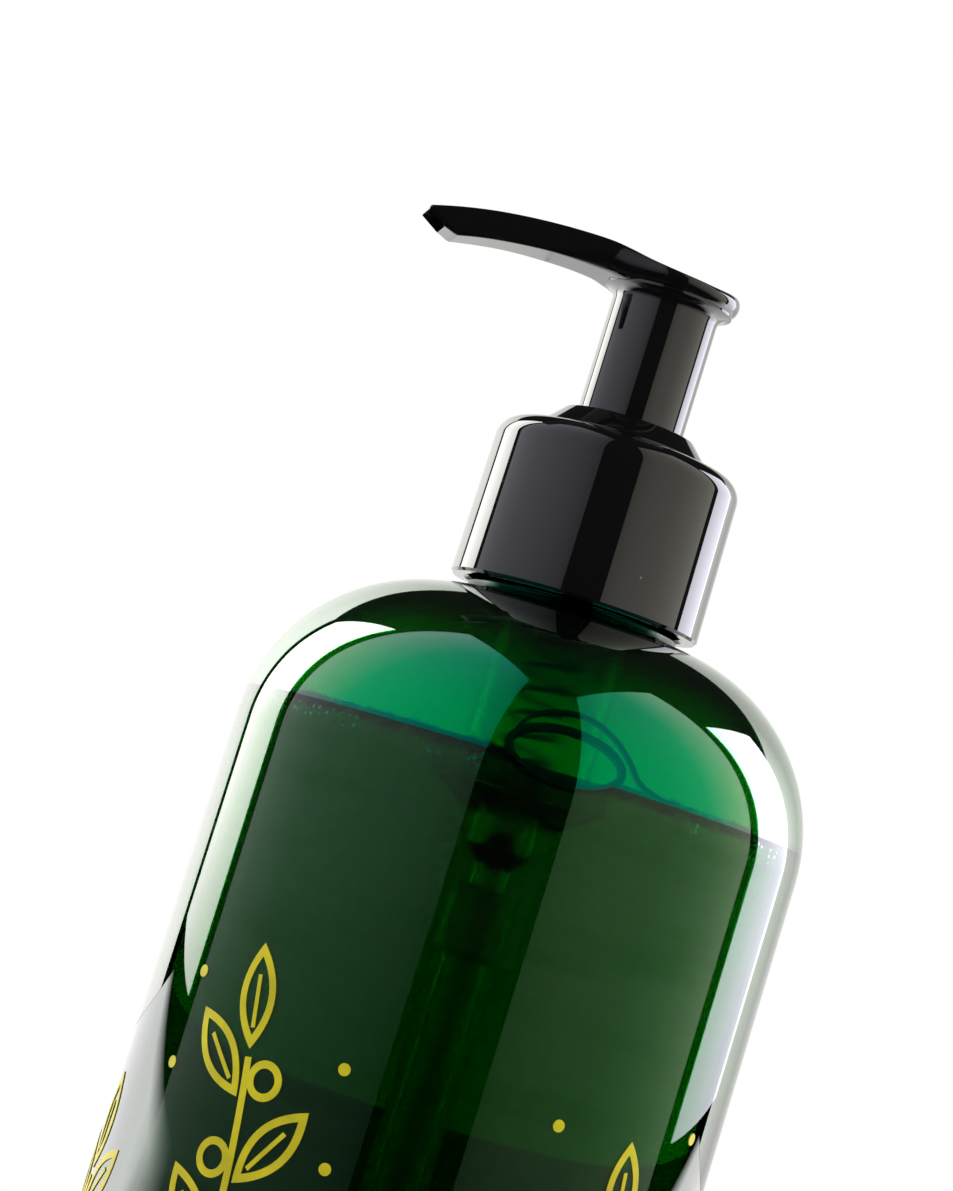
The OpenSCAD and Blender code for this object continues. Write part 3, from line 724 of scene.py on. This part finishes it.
def build_soap():
    """The soap, wetting the wall and the pump, with bubbles and one large bubble on it."""
    bottle = settings("bottle")
    soap = settings("soap")
    wet = 0.2 * MM
    wall_r = inner_wall(soap.level_z)
    level = soap.level_z
    outer = [p for p in wall_section(bottle, bottle.wall - wet, 1.5 * bottle.wall - wet)
             if p[1] < level - 3 * MM]
    tube = 2.95 * MM
    tube_z = 8.8 * MM
    rib = 5.35 * MM
    rib_h = 0.8 * MM
    foot = 4.55 * MM
    foot_z = 105 * MM
    barrel = 8.15 * MM
    pump = [(tube, tube_z), (tube, foot_z), (foot, foot_z)]
    for k in range(4):
        low = (114.7 + 2 * k) * MM
        pump += [(foot, low), (rib, low), (rib, low + rib_h), (foot, low + rib_h)]
    pump += [(foot, 122.3 * MM), (barrel, 125.2 * MM), (barrel, level)]
    top = [(barrel + (wall_r + wet - barrel) * k / 90, level) for k in range(1, 91)]
    side = line(outer[-1], top[-1], 6)
    floor = [(0, outer[0][1]), (0, tube_z)]
    section = floor + pump + top + list(reversed(side)) + list(reversed(outer[1:]))

    def with_surface(r, z, angle):
        if z < level - TINY:
            return r, z
        return r, soap_surface(r * math.cos(angle), r * math.sin(angle), z)

    mesh = turned(section, 240, with_surface)
    scatter_bubbles(mesh)
    piece("soap_liquid", mesh, dark_soap(), "bottle", ["soap"], sharp=60)
    build_big_bubble()


def curve_through(places, closed, steps=8):
    """Smooth line through places (angle, height)."""
    points = [Vector(p) for p in places]
    count = len(points)
    line_points = []
    for i in range(count if closed else count - 1):
        before = points[i - 1] if closed or i > 0 else points[i]
        after = points[(i + 2) % count] if closed or i + 2 < count else points[-1]
        start = points[i]
        end = points[(i + 1) % count]
        for k in range(steps):
            t = k / steps
            pull = (end - before) * (t * (1 - t) ** 2) / 2 - (after - start) * (t * t * (1 - t)) / 2
            line_points.append(start.lerp(end, t * t * (3 - 2 * t)) + pull)
    return line_points if closed else line_points + [points[-1]]


def wall_rim(mesh, places, closed, thick):
    """Adds a rim of liquid along a line of places (angle, height) on the inner wall."""
    path = curve_through(places, closed)
    count = len(path)
    sides = 14
    turns = [2 * math.pi * k / sides for k in range(sides)]
    rings = []
    for i, (angle, height) in enumerate(path):
        back = path[i - 1] if closed or i > 0 else path[i]
        ahead = path[(i + 1) % count] if closed or i + 1 < count else path[i]
        wall_r = inner_wall(height)
        run = Vector(((ahead.x - back.x) * wall_r, ahead.y - back.y)).normalized()
        out = Vector((math.sin(angle), -math.cos(angle), 0))
        side = Vector((math.cos(angle), math.sin(angle), 0)) * -run.y + Vector((0, 0, run.x))
        taper = 1 if closed else 0.25 + 0.75 * min(1, 6 * i / count, 6 * (count - 1 - i) / count)
        size = thick * taper
        centre = out * (wall_r + 0.12 * MM - size) + Vector((0, 0, height))
        ways = [out * math.cos(a) + side * math.sin(a) for a in turns]
        rings.append([mesh.verts.new(centre + way * size) for way in ways])
    for low, high in zip(rings, rings[1:] + (rings[:1] if closed else [])):
        skin(mesh, low, high)
    if not closed:
        mesh.faces.new(rings[0])
        mesh.faces.new(list(reversed(rings[-1])))


def build_big_bubble():
    """The rims of liquid where a large bubble and a second film touch the wall."""
    soap = settings("soap")
    wall_r = inner_wall(soap.bubble_z)
    mesh = bmesh.new()
    ring = []
    for k in range(24):
        turn = 2 * math.pi * k / 24
        angle = soap.bubble_angle + math.cos(turn) * soap.bubble_w / 2 / wall_r
        ring.append((angle, soap.bubble_z + math.sin(turn) * soap.bubble_h / 2))
    wall_rim(mesh, ring, True, 0.55 * MM)
    arch = ((-16.6, 131.0), (-13.6, 133.6), (-8.3, 134.9), (-2.3, 135.0), (3.0, 133.7), (6.5, 131.9),
            (9.4, 129.9), (14.0, 129.0), (20.0, 128.7))
    wall_rim(mesh, [(math.radians(angle), height * MM) for angle, height in arch], False, 0.36 * MM)
    face_outward(mesh)
    piece("soap_bubble_rim", mesh, painted_dark_rim(), "bottle", [], sharp=80)


# Print

def lens_outline(long, wide, steps=16):
    """Outline of a pointed leaf, centred, as points (x, y)."""
    upper = []
    for k in range(steps + 1):
        x = 2 * k / steps - 1
        upper.append(Vector((x * long / 2, (1 - x * x) * wide / 2)))
    return upper + [Vector((p.x, -p.y)) for p in reversed(upper[1:-1])]


def circle_outline(diameter, steps=40):
    """Outline of a circle, centred."""
    return [Vector((math.cos(2 * math.pi * k / steps), math.sin(2 * math.pi * k / steps))) * diameter / 2
            for k in range(steps)]


class Ink:
    """Lays flat shapes on the bottle as a thin layer of ink."""

    def __init__(self, mesh):
        ink = settings("print")
        self.mesh = mesh
        self.low_r = settings("bottle").body_d / 2 + ink.gap
        self.high_r = self.low_r + ink.thickness
        self.angle = 0.0
        self.height = 0.0
        self.map = Matrix.Identity(4)

    def wrap(self, point, radius):
        """New vertex for a point of the flat drawing."""
        flat = self.map @ Vector((point.x, point.y, 0))
        y = -math.sqrt(radius ** 2 - flat.x ** 2)
        turn = Matrix.Rotation(self.angle, 4, "Z")
        return self.mesh.verts.new(turn @ Vector((flat.x, y, self.height + flat.y)))

    def band(self, first, second, closed):
        """Solid band between two lines of points."""
        stations = [[self.wrap(a, self.low_r), self.wrap(a, self.high_r), self.wrap(b, self.high_r),
                     self.wrap(b, self.low_r)] for a, b in zip(first, second)]
        following = stations[1:] + (stations[:1] if closed else [])
        for low, high in zip(stations, following):
            skin(self.mesh, low, high)
        if not closed:
            self.mesh.faces.new(stations[0])
            self.mesh.faces.new(list(reversed(stations[-1])))

    def disc(self, outline):
        """Solid disc."""
        high = [self.wrap(p, self.high_r) for p in outline]
        low = [self.wrap(p, self.low_r) for p in outline]
        skin(self.mesh, low, high)
        self.mesh.faces.new(high)
        self.mesh.faces.new(list(reversed(low)))


def shifted(x, y=0.0):
    return Matrix.Translation((x, y, 0))


def rotated(degrees):
    return Matrix.Rotation(math.radians(degrees), 4, "Z")


def draw_leaf(ink, place):
    """A leaf in outline with a vein."""
    p = settings("print")
    ink.map = place @ shifted(p.leaf_len / 2)
    outer = lens_outline(p.leaf_len, p.leaf_w)
    inner = lens_outline(p.leaf_len - 3.4 * p.line_w, p.leaf_w - 2 * p.line_w)
    ink.band(outer, inner, True)
    ink.map = place
    start = 0.2 * p.leaf_len
    half = 0.3 * p.line_w
    places = [start + 0.5 * p.leaf_len * k / 8 for k in range(9)]
    ink.band([Vector((x, -half)) for x in places], [Vector((x, half)) for x in places], False)


def draw_fruit(ink, place):
    """A fruit in outline."""
    p = settings("print")
    ink.map = place @ shifted(0.6 * p.fruit_d)
    ink.band(circle_outline(p.fruit_d), circle_outline(p.fruit_d - 2 * p.line_w), True)


def draw_twig(ink, mirror, fewer):
    """A twig that bends to one side, with leaves and fruit in pairs."""
    p = settings("print")
    step = math.degrees(0.78 * p.leaf_len / p.twig_r)
    pairs = max(1, p.leaf_pairs - fewer)
    root = Matrix.Diagonal((mirror, 1, 1, 1)) @ rotated(-step * p.leaf_pairs / 2) @ shifted(-p.twig_r)
    ink.map = root
    bends = [math.radians(step * pairs * k / 60) for k in range(61)]
    inner = p.twig_r - p.line_w / 2
    outer = p.twig_r + p.line_w / 2
    ink.band([Vector((outer * math.cos(a), outer * math.sin(a))) for a in bends],
             [Vector((inner * math.cos(a), inner * math.sin(a))) for a in bends], False)
    for i in range(1, pairs + 1):
        for side in (0, 1):
            place = root @ rotated(step * (i - 0.6)) @ shifted(p.twig_r)
            place = place @ rotated(90 + (2 * side - 1) * 38) @ shifted(1.5 * p.line_w)
            if (i + side) % 3 == 0:
                draw_fruit(ink, place)
            else:
                draw_leaf(ink, place)
    tip = root @ rotated(step * pairs) @ shifted(p.twig_r) @ rotated(90) @ shifted(p.line_w)
    draw_leaf(ink, tip)


TWIGS = ((-84, 30, -1, 2), (-46, 32, 1, 0), (-8, 18, -1, 1), (30, 32, 1, 1), (66, 24, -1, 1))
DOTS = ((-65, 84), (-64, 95), (-65, 34), (-27, 90), (-25, 79), (-28, 36), (10, 66), (11, 80), (13, 91),
        (11, 26), (48, 93), (49, 82), (48, 30))


def build_print():
    """The printed twigs and dots."""
    p = settings("print")
    mesh = bmesh.new()
    ink = Ink(mesh)
    for angle, height, mirror, fewer in TWIGS:
        ink.angle = math.radians(angle)
        ink.height = height * MM
        draw_twig(ink, mirror, fewer)
    for angle, height in DOTS:
        ink.angle = math.radians(angle)
        ink.height = height * MM
        ink.map = Matrix.Identity(4)
        ink.disc(circle_outline(1.6 * p.line_w, 20))
    face_outward(mesh)
    piece("printed_twigs", mesh, screen_ink(), "bottle", ["print"], sharp=50)


# Collar and ring

def build_collar(black):
    """Smooth screw collar with a round top edge and a thread inside."""
    p = settings("pump")
    thread = settings("thread")
    soft = 0.12 * MM
    crown = (p.collar_top_r - p.collar_round, p.collar_top_z - p.collar_round)
    low = (p.collar_r, p.collar_z + 0.35 * MM)
    bevel = [(p.collar_in_r + 0.4 * MM, p.collar_z), (p.collar_r - 0.3 * MM, p.collar_z)]
    side = bevel + [low] + line(low, (p.collar_top_r, crown[1]), 20)
    top = arc(crown, p.collar_round, 0, 90, 24) + [(p.hole_r + 2 * soft, p.collar_top_z)]
    hole = arc((p.hole_r + soft, p.collar_top_z - soft), soft, 90, 180, 3) + [(p.hole_r, p.panel_z)]
    ceiling = (p.collar_in_r, p.panel_z)
    inside = [ceiling] + line(ceiling, (p.collar_in_r, p.collar_z + 0.4 * MM), 70)
    inside += [(p.collar_in_r, p.collar_z + 0.4 * MM)]

    def with_thread(r, z, angle):
        if abs(r - p.collar_in_r) < TINY:
            return r - thread.collar_depth * ridge(thread.collar_z, z, angle), z
        return r, z

    mesh = turned(side + top + hole + inside, 192, with_thread)
    piece("screw_collar", mesh, black, "collar", ["collar"])


def build_ring(black):
    """Cone-shaped ring that guides the sleeve."""
    p = settings("pump")
    groove_top = p.ring_rim_z - 1.5 * MM
    groove_r = p.guide_out_r + 0.85 * MM
    fine = 0.1 * MM
    section = rounded([
        (p.guide_r, p.guide_low_z, fine), (p.guide_out_r, p.guide_low_z, fine),
        (p.guide_out_r, groove_top, 0), (groove_r, groove_top, 0), (groove_r, p.ring_z, 0),
        (p.ring_base_r, p.ring_z, fine), (p.ring_base_r, p.ring_z + 0.45 * MM, 0.15 * MM),
        (p.ring_rim_r, p.ring_rim_z, 0.25 * MM), (p.guide_r, p.ring_rim_z, 0.2 * MM)], 6)
    mesh = turned(section, 160)
    piece("guide_ring", mesh, black, "pump", ["retaining_ring"])


# Head

def soft_min(first, second, crease):
    """The lower of two heights, with a crease as wide as given where they cross."""
    return min(first, second) - crease * math.log1p(math.exp(-abs(first - second) / crease))


def head_top(x):
    """Height of the head's upper face."""
    h = settings("head")
    run = min(x, -8 * MM) + h.crown_x
    crown = h.crown_z - h.spout_r + math.sqrt((h.spout_r + h.spout_t) ** 2 - run ** 2)
    if x < -h.crown_x - 8 * MM:
        return crown
    back = x - h.saddle_x
    bend = h.heel_r if back > 0 else h.saddle_r
    saddle = h.saddle_z + bend - math.sqrt(bend ** 2 - back ** 2)
    top = soft_min(crown, saddle, 0.3 * MM)
    return soft_min(top, h.pad_z + h.pad_t, 0.1 * MM) if x > 0 else top


def head_bottom(x):
    """Height of the head's lower face."""
    h = settings("head")
    arc_z = h.crown_z - h.spout_r
    spout = arc_z + math.sqrt(h.spout_r ** 2 - (x + h.crown_x) ** 2)
    return spout + (h.pad_z - spout) * smooth_step(-9.5 * MM, -6.5 * MM, x)


def head_outline():
    """Half of the head's outline from above: points (x, y) with their outward directions."""
    h = settings("head")
    half_w = h.spout_w / 2
    flare_y = half_w + h.flare_r
    flare_x = -math.sqrt((h.pad_r + h.flare_r) ** 2 - flare_y ** 2)
    points = []
    tip = Vector((-h.reach, h.tip_w / 2))
    for k in range(60):
        points.append((tip.lerp(Vector((flare_x, half_w)), k / 60), Vector((0, 1))))
    turn = math.atan2(flare_y, -flare_x)
    flare_end = math.pi / 2 - turn
    for k in range(40):
        a = flare_end * k / 40
        away = Vector((math.sin(a), -math.cos(a)))
        points.append((Vector((flare_x, flare_y)) + away * h.flare_r, -away))
    for k in range(97):
        a = (math.pi - turn) * (1 - k / 96)
        away = Vector((math.cos(a), math.sin(a)))
        points.append((away * h.pad_r, away))
    return points


def head_loop(mesh, point, outward, edges, shear, grow=0.0, walls=(0.0, 0.0)):
    """One loop of vertices round the head, through a point of its outline.

    edges are the roundings below and above. shear leans the loop back, grow moves it along X and walls
    draw it in from the lower and the upper face.
    """
    arc_steps = 6
    across = 10
    high = head_top(point.x) - walls[1]
    fit = min(1, (high - head_bottom(point.x) - walls[0]) * 0.98 / sum(edges))
    side = []
    faces = ((head_bottom, 1, walls[0], edges[0]), (head_top, -1, walls[1], edges[1]))
    for face, sign, wall, edge in faces:
        rounding = edge * fit
        inner = point - outward * rounding
        half = [(inner.x, inner.y * k / across, 0) for k in range(across)]
        for k in range(arc_steps + 1):
            a = math.pi / 2 * k / arc_steps
            place = point - outward * rounding * (1 - math.sin(a))
            half.append((place.x, place.y, rounding * (1 - math.cos(a))))
        for x, y, up in half[::sign]:
            z = face(x) + sign * (wall + up)
            moved = x + shear * (high - z) + grow
            side.append(Vector((moved, y, z + head_bottom(moved) - head_bottom(x))))
    mirrored = [Vector((p.x, -p.y, p.z)) for p in reversed(side[1:-1])]
    return [mesh.verts.new(p) for p in side + mirrored]


def build_spout_and_pad(mesh):
    """Adds the spout and thumb pad as one closed shell with an open mouth."""
    h = settings("head")
    outline = head_outline()
    loops = []
    mouth = []
    sideways = Vector((0, 1))
    walls = (h.mouth_lip, h.mouth_roof)
    fine = (0.2 * MM, 0.2 * MM)
    lean = 1.1

    def shear_at(x):
        """How far the spout's end leans back at a place."""
        return lean * (1 - smooth_step(-h.reach, -h.reach + 7 * MM, x))

    for k in range(17):
        x = -h.reach + h.mouth_depth * (1 - k / 16)
        place = Vector((x, h.mouth_w / 2))
        mouth.append(head_loop(mesh, place, sideways, fine, shear_at(x), 0, walls))
    bevel = 0.12 * MM
    corner = outline[0][0] - sideways * bevel
    ends = (h.edge, h.edge)
    frame_loop = head_loop(mesh, corner, sideways, ends, lean, 0, (bevel, bevel))
    more = h.pad_edge - h.edge
    for point, outward in outline:
        x = point.x
        grow = bevel if x < -h.reach + TINY else 0
        low_edge = h.edge + 1.3 * more * smooth_step(-18 * MM, -8 * MM, x)
        low_edge -= 0.3 * more * smooth_step(-2 * MM, 6 * MM, x)
        high_edge = h.edge + 0.2 * MM * smooth_step(-20 * MM, -5 * MM, x)
        high_edge += more * smooth_step(1 * MM, 8.5 * MM, x)
        loops.append(head_loop(mesh, point, outward, (low_edge, high_edge), shear_at(x), grow))
    chain = mouth + [frame_loop] + loops
    for low, high in zip(chain, chain[1:]):
        skin(mesh, low, high)
    mesh.faces.new(mouth[0])
    bmesh.ops.remove_doubles(mesh, verts=mesh.verts, dist=0.002 * MM)


def sleeve_section():
    """Section of the sleeve, its socket and the fillet under the pad."""
    h = settings("head")
    inside = h.sleeve_r - h.sleeve_wall
    roof = h.head_z - 0.6 * MM
    fine = 0.1 * MM
    snap_z = h.socket_z + 4.47 * MM
    snap = 0.25 * MM
    buried = 0.35 * MM
    fillet = arc((h.sleeve_r + h.fillet, h.head_z), h.fillet, 180, 90, 12)
    low = rounded([
        (inside, h.sleeve_z, fine), (h.lip_r, h.sleeve_z, 0.3 * MM), (h.lip_r, h.sleeve_z + h.lip_h, fine),
        (h.sleeve_r, h.sleeve_z + h.lip_h, 0), (h.sleeve_r, h.head_z, 0)], 4)
    side = line(low[-2], low[-1], 30)
    top = [(h.sleeve_r + h.fillet, h.pad_z + buried), (0, h.pad_z + buried), (0, h.socket_top_z)]
    socket = [
        (h.socket_bore_r, h.socket_top_z), (h.socket_bore_r, snap_z + 1 * MM),
        (h.socket_bore_r - snap, snap_z + 0.8 * MM), (h.socket_bore_r - snap, snap_z + 0.2 * MM),
        (h.socket_bore_r, snap_z), (h.socket_bore_r, h.socket_z), (h.socket_r, h.socket_z),
        (h.socket_r, roof), (inside, roof)]
    return low[:-1] + side + fillet + top + socket


def build_head(black):
    """Saddle head, spout and sleeve, moulded as one piece."""
    mesh = turned(sleeve_section(), 160)
    build_spout_and_pad(mesh)
    face_outward(mesh)
    piece("saddle_head", mesh, black, "head", ["head"], sharp=35)


# Studio

def direction(azimuth):
    """Level direction from the bottle at an angle from the camera's side."""
    angle = settings("studio").azimuth + math.radians(azimuth)
    return Vector((math.sin(angle), -math.cos(angle), 0))


def profile(nodes, place, stops):
    """Value along a place from 0 to 1, through the stops (place, value)."""
    ramp = nodes.add("ShaderNodeValToRGB")
    nodes.link(place, ramp.inputs["Fac"])
    points = ramp.color_ramp.elements
    while len(points) < len(stops):
        points.new(1)
    for point, (where, value) in zip(points, stops):
        point.position = where
        point.color = (value, value, value, 1)
    return ramp.outputs["Color"]


def light_panel(name, azimuth, distance, span, heights, tint, brightness, across, upward):
    """Flat lamp that faces the bottle.

    span is its reach to each side, and heights its lower and upper edge. across and upward say how its
    brightness changes from left to right and from the bottom to the top.
    """
    out = direction(azimuth)
    along = direction(azimuth + 90)
    width = span[1] - span[0]
    height = heights[1] - heights[0]
    lamp = bpy.data.lights.new(name, "AREA")
    lamp.shape = "RECTANGLE"
    lamp.size = width
    lamp.size_y = height
    lamp.color = tint
    lamp.energy = brightness * math.pi * width * height
    nodes = Nodes(lamp)
    places = nodes.add("ShaderNodeSeparateXYZ")
    nodes.link(nodes.add("ShaderNodeNewGeometry").outputs["Parametric"], places.inputs[0])
    level_x = profile(nodes, places.outputs["X"], across)
    level_y = profile(nodes, places.outputs["Y"], upward)
    nodes.link(nodes.times(level_x, level_y), nodes.tree.nodes["Emission"].inputs["Strength"])
    thing = show(lamp)
    place = out * distance + along * (span[0] + width / 2)
    place.z = heights[0] + height / 2
    thing.location = place
    thing.rotation_mode = "QUATERNION"
    thing.rotation_quaternion = out.to_track_quat("Z", "Y")
    thing.visible_camera = False


EVEN = ((0, 1), (1, 1))
FRONT_UPWARD = ((0, 0.3), (0.04, 0.42), (0.08, 0.68), (0.16, 1), (1, 1))
BACK_ACROSS = ((0, 0.95), (0.06, 0.78), (0.12, 0.6), (0.23, 0.36), (0.36, 0.3), (0.5, 0.3), (0.67, 0.4),
               (0.74, 0.52), (0.8, 0.62), (0.91, 0.86), (1, 0.98))
SIDE_UPWARD = ((0, 0.6), (0.1, 0.8), (0.25, 1), (1, 1))


def build_lights():
    """Two tall front panels with a dark gap between them, two side strips and a lit backdrop."""
    s = settings("studio")
    cool = (0.92, 0.9, 1.0)
    warm = (1.0, 0.96, 0.83)
    lilac = (0.9, 0.89, 1.0)
    cream = (1.0, 1.0, 0.95)
    ivory = (1.0, 0.995, 0.965)
    light_panel("front_left", -62, 0.37, (-0.35, 0.39), (0.0, 1.39), cool, s.front_light * 1.5,
                ((0, 1), (0.15, 0.88), (0.49, 0.67), (0.73, 0.5), (1, 0.28)), FRONT_UPWARD)
    light_panel("front_right", 64, 0.37, (-0.352, 0.29), (0.0, 1.19), warm, s.front_light * 1.85,
                ((0, 0.37), (0.23, 0.51), (0.51, 0.6), (0.8, 0.84), (1, 1)), FRONT_UPWARD)
    light_panel("side_left", -66.4, 0.365, (-0.92, -0.35), (0.058, 0.705), cream, s.side_light,
                ((0, 0.8), (0.35, 0.92), (1, 1)), SIDE_UPWARD)
    light_panel("side_right", 77.6, 0.45, (0.264, 0.72), (0.058, 0.73), lilac, s.side_light * 0.9,
                ((0, 1), (1, 0.8)), SIDE_UPWARD)
    light_panel("backdrop_light", 180, 1.0, (-1.02, 0.87), (0.0, 0.86), ivory, s.back_light,
                BACK_ACROSS, EVEN)


def build_world():
    """White to the camera, dark in reflections and through clear things, and a soft fill elsewhere."""
    world = bpy.data.worlds.new("studio_world")
    bpy.context.scene.world = world
    nodes = Nodes(world)
    back = nodes.tree.nodes["Background"]
    nodes.feed(back.inputs["Color"], WHITE)
    path = nodes.add("ShaderNodeLightPath").outputs
    sharp = nodes.most(path["Is Glossy Ray"], path["Is Transmission Ray"])
    fill = nodes.span(sharp, 0.45, 0.02)
    nodes.link(nodes.most(path["Is Camera Ray"], fill), back.inputs["Strength"])


def pale_floor():
    """White table: matt near the bottle, where its shadow falls, and plain white further off.

    In reflections and through clear things the table glows on a stretch behind the bottle: painted light, as
    the table is no lamp.
    """
    finish = Finish("pale_floor", (0.86, 0.86, 0.86), 0.6)
    finish.drive("Roughness", finish.span(finish.noise(300), 0.55, 0.65))
    far = finish.add("ShaderNodeVectorMath")
    far.operation = "LENGTH"
    finish.link(finish.place, far.inputs[0])
    away = finish.span(far.outputs["Value"], 0.0, 1.0, 0.1, 0.34)
    breadth = finish.sum("ABSOLUTE", finish.reach(direction(90)), 0)
    behind = finish.reach(direction(180))
    slant = finish.sum("MINIMUM", finish.sum("DIVIDE", breadth, behind), 2)
    # Painted light: strength of the glow that reflections and clear things see on the table, brightest on a
    # stretch behind the bottle.
    level = finish.sum("ADD", finish.times(slant, 2.3), settings("studio").floor_light)
    edge = finish.sum("SUBTRACT", breadth, finish.times(behind, 0.5))
    sides = finish.span(edge, 1.0, 0.0, 0.52, 0.66)
    near = finish.span(behind, 0.0, 1.0, 0.0, 0.2)
    end = finish.span(behind, 1.0, 0.0, 0.99, 1.0)
    path = finish.add("ShaderNodeLightPath").outputs
    through = path["Is Transmission Ray"]
    seen = path["Is Camera Ray"]
    mirrored = finish.most(path["Is Glossy Ray"], through)
    level = finish.times(level, sides, near, end, finish.span(through, 1.0, 0.25), mirrored)
    glow = finish.add("ShaderNodeEmission")
    finish.link(finish.most(level, seen), glow.inputs["Strength"])
    share = finish.most(finish.times(away, seen), mirrored)
    mix = finish.add("ShaderNodeMixShader")
    finish.link(share, mix.inputs["Fac"])
    finish.link(finish.shader.outputs["BSDF"], mix.inputs[1])
    finish.link(glow.outputs["Emission"], mix.inputs[2])
    finish.link(mix.outputs["Shader"], finish.tree.nodes["Material Output"].inputs["Surface"])
    return finish.material


def build_floor():
    """A round table top."""
    mesh = bmesh.new()
    bmesh.ops.create_circle(mesh, cap_ends=True, segments=96, radius=4)
    mesh_object("table", mesh, pale_floor())


def build_camera():
    """Camera at the photograph's angle, rolled so that the bottle leans to the right."""
    s = settings("studio")
    out = direction(0)
    up = Vector((0, 0, 1))
    right = direction(90)
    ahead = -out * math.cos(s.yaw) - right * math.sin(s.yaw)
    level_right = right * math.cos(s.yaw) - out * math.sin(s.yaw)
    look = ahead * math.cos(s.pitch) + up * math.sin(s.pitch)
    level_up = up * math.cos(s.pitch) - ahead * math.sin(s.pitch)
    x_axis = level_right * math.cos(s.roll) + level_up * math.sin(s.roll)
    y_axis = level_up * math.cos(s.roll) - level_right * math.sin(s.roll)
    turn = Matrix((x_axis, y_axis, -look)).transposed()
    data = bpy.data.cameras.new("camera")
    data.lens = s.lens
    data.sensor_width = 36
    data.clip_start = 0.01
    data.clip_end = 20
    camera = show(data)
    camera.matrix_world = Matrix.Translation(out * s.distance + up * s.height) @ turn.to_4x4()
    bpy.context.scene.camera = camera


# Operators

class SOAPBOTTLE_OT_studio(bpy.types.Operator):
    """Camera, table, lamps and white surroundings"""
    bl_idname = "soapbottle.studio"
    bl_label = "Studio"

    def execute(self, context):
        build_camera()
        build_floor()
        build_lights()
        build_world()
        scene = context.scene
        scene.view_settings.view_transform = "Standard"
        scene.cycles.max_bounces = 20
        scene.cycles.transmission_bounces = 20
        scene.cycles.glossy_bounces = 8
        return {"FINISHED"}


class SOAPBOTTLE_OT_bottle(bpy.types.Operator):
    """Blown green bottle with its neck and thread"""
    bl_idname = "soapbottle.bottle"
    bl_label = "Bottle"

    def execute(self, context):
        build_bottle()
        return {"FINISHED"}


class SOAPBOTTLE_OT_soap(bpy.types.Operator):
    """Dark soap with its bubbles"""
    bl_idname = "soapbottle.soap"
    bl_label = "Soap"

    def execute(self, context):
        build_soap()
        return {"FINISHED"}


class SOAPBOTTLE_OT_print(bpy.types.Operator):
    """Printed twigs on the front of the bottle"""
    bl_idname = "soapbottle.print"
    bl_label = "Print"

    def execute(self, context):
        build_print()
        return {"FINISHED"}


class SOAPBOTTLE_OT_pump(bpy.types.Operator):
    """Black collar, ring and head, and the finishes of the pump's inner parts"""
    bl_idname = "soapbottle.pump"
    bl_label = "Pump"

    def execute(self, context):
        black = polished_black()
        build_collar(black)
        build_ring(black)
        build_head(black)
        milky = milky_plastic()
        seal = white_seal()
        steel = drawn_steel()
        finishes = {"housing": milky, "dip_tube": milky, "stem": milky, "piston": seal, "piston_seat": seal,
                    "gasket": foam_sheet(), "ball": steel, "spring": steel}
        for node, material in finishes.items():
            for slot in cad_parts[node].material_slots:
                slot.material = material
        return {"FINISHED"}


class SOAPBOTTLE_PT_sidebar(bpy.types.Panel):
    """Lists the pieces that can be built"""
    bl_label = "Soap bottle"
    bl_idname = "SOAPBOTTLE_PT_sidebar"
    bl_space_type = "VIEW_3D"
    bl_region_type = "UI"
    bl_category = "Soap bottle"

    def draw(self, context):
        for operator in OPERATORS:
            self.layout.operator(operator.bl_idname)


GROUPS = {"bottle": BottleSettings, "thread": ThreadSettings, "soap": SoapSettings, "print": PrintSettings,
          "pump": PumpSettings, "head": HeadSettings, "studio": StudioSettings}
OPERATORS = (SOAPBOTTLE_OT_studio, SOAPBOTTLE_OT_bottle, SOAPBOTTLE_OT_soap, SOAPBOTTLE_OT_print,
             SOAPBOTTLE_OT_pump)
CLASSES = (*GROUPS.values(), *OPERATORS, SOAPBOTTLE_PT_sidebar)


def register():
    for kind in CLASSES:
        bpy.utils.register_class(kind)
    for name, kind in GROUPS.items():
        setattr(bpy.types.Scene, "soap_" + name, PointerProperty(type=kind))


def unregister():
    for name in GROUPS:
        delattr(bpy.types.Scene, "soap_" + name)
    for kind in reversed(CLASSES):
        bpy.utils.unregister_class(kind)


def main():
    register()
    bpy.ops.soapbottle.studio()
    bpy.ops.soapbottle.bottle()
    bpy.ops.soapbottle.soap()
    bpy.ops.soapbottle.print()
    bpy.ops.soapbottle.pump()


if __name__ == "__main__":
    main()
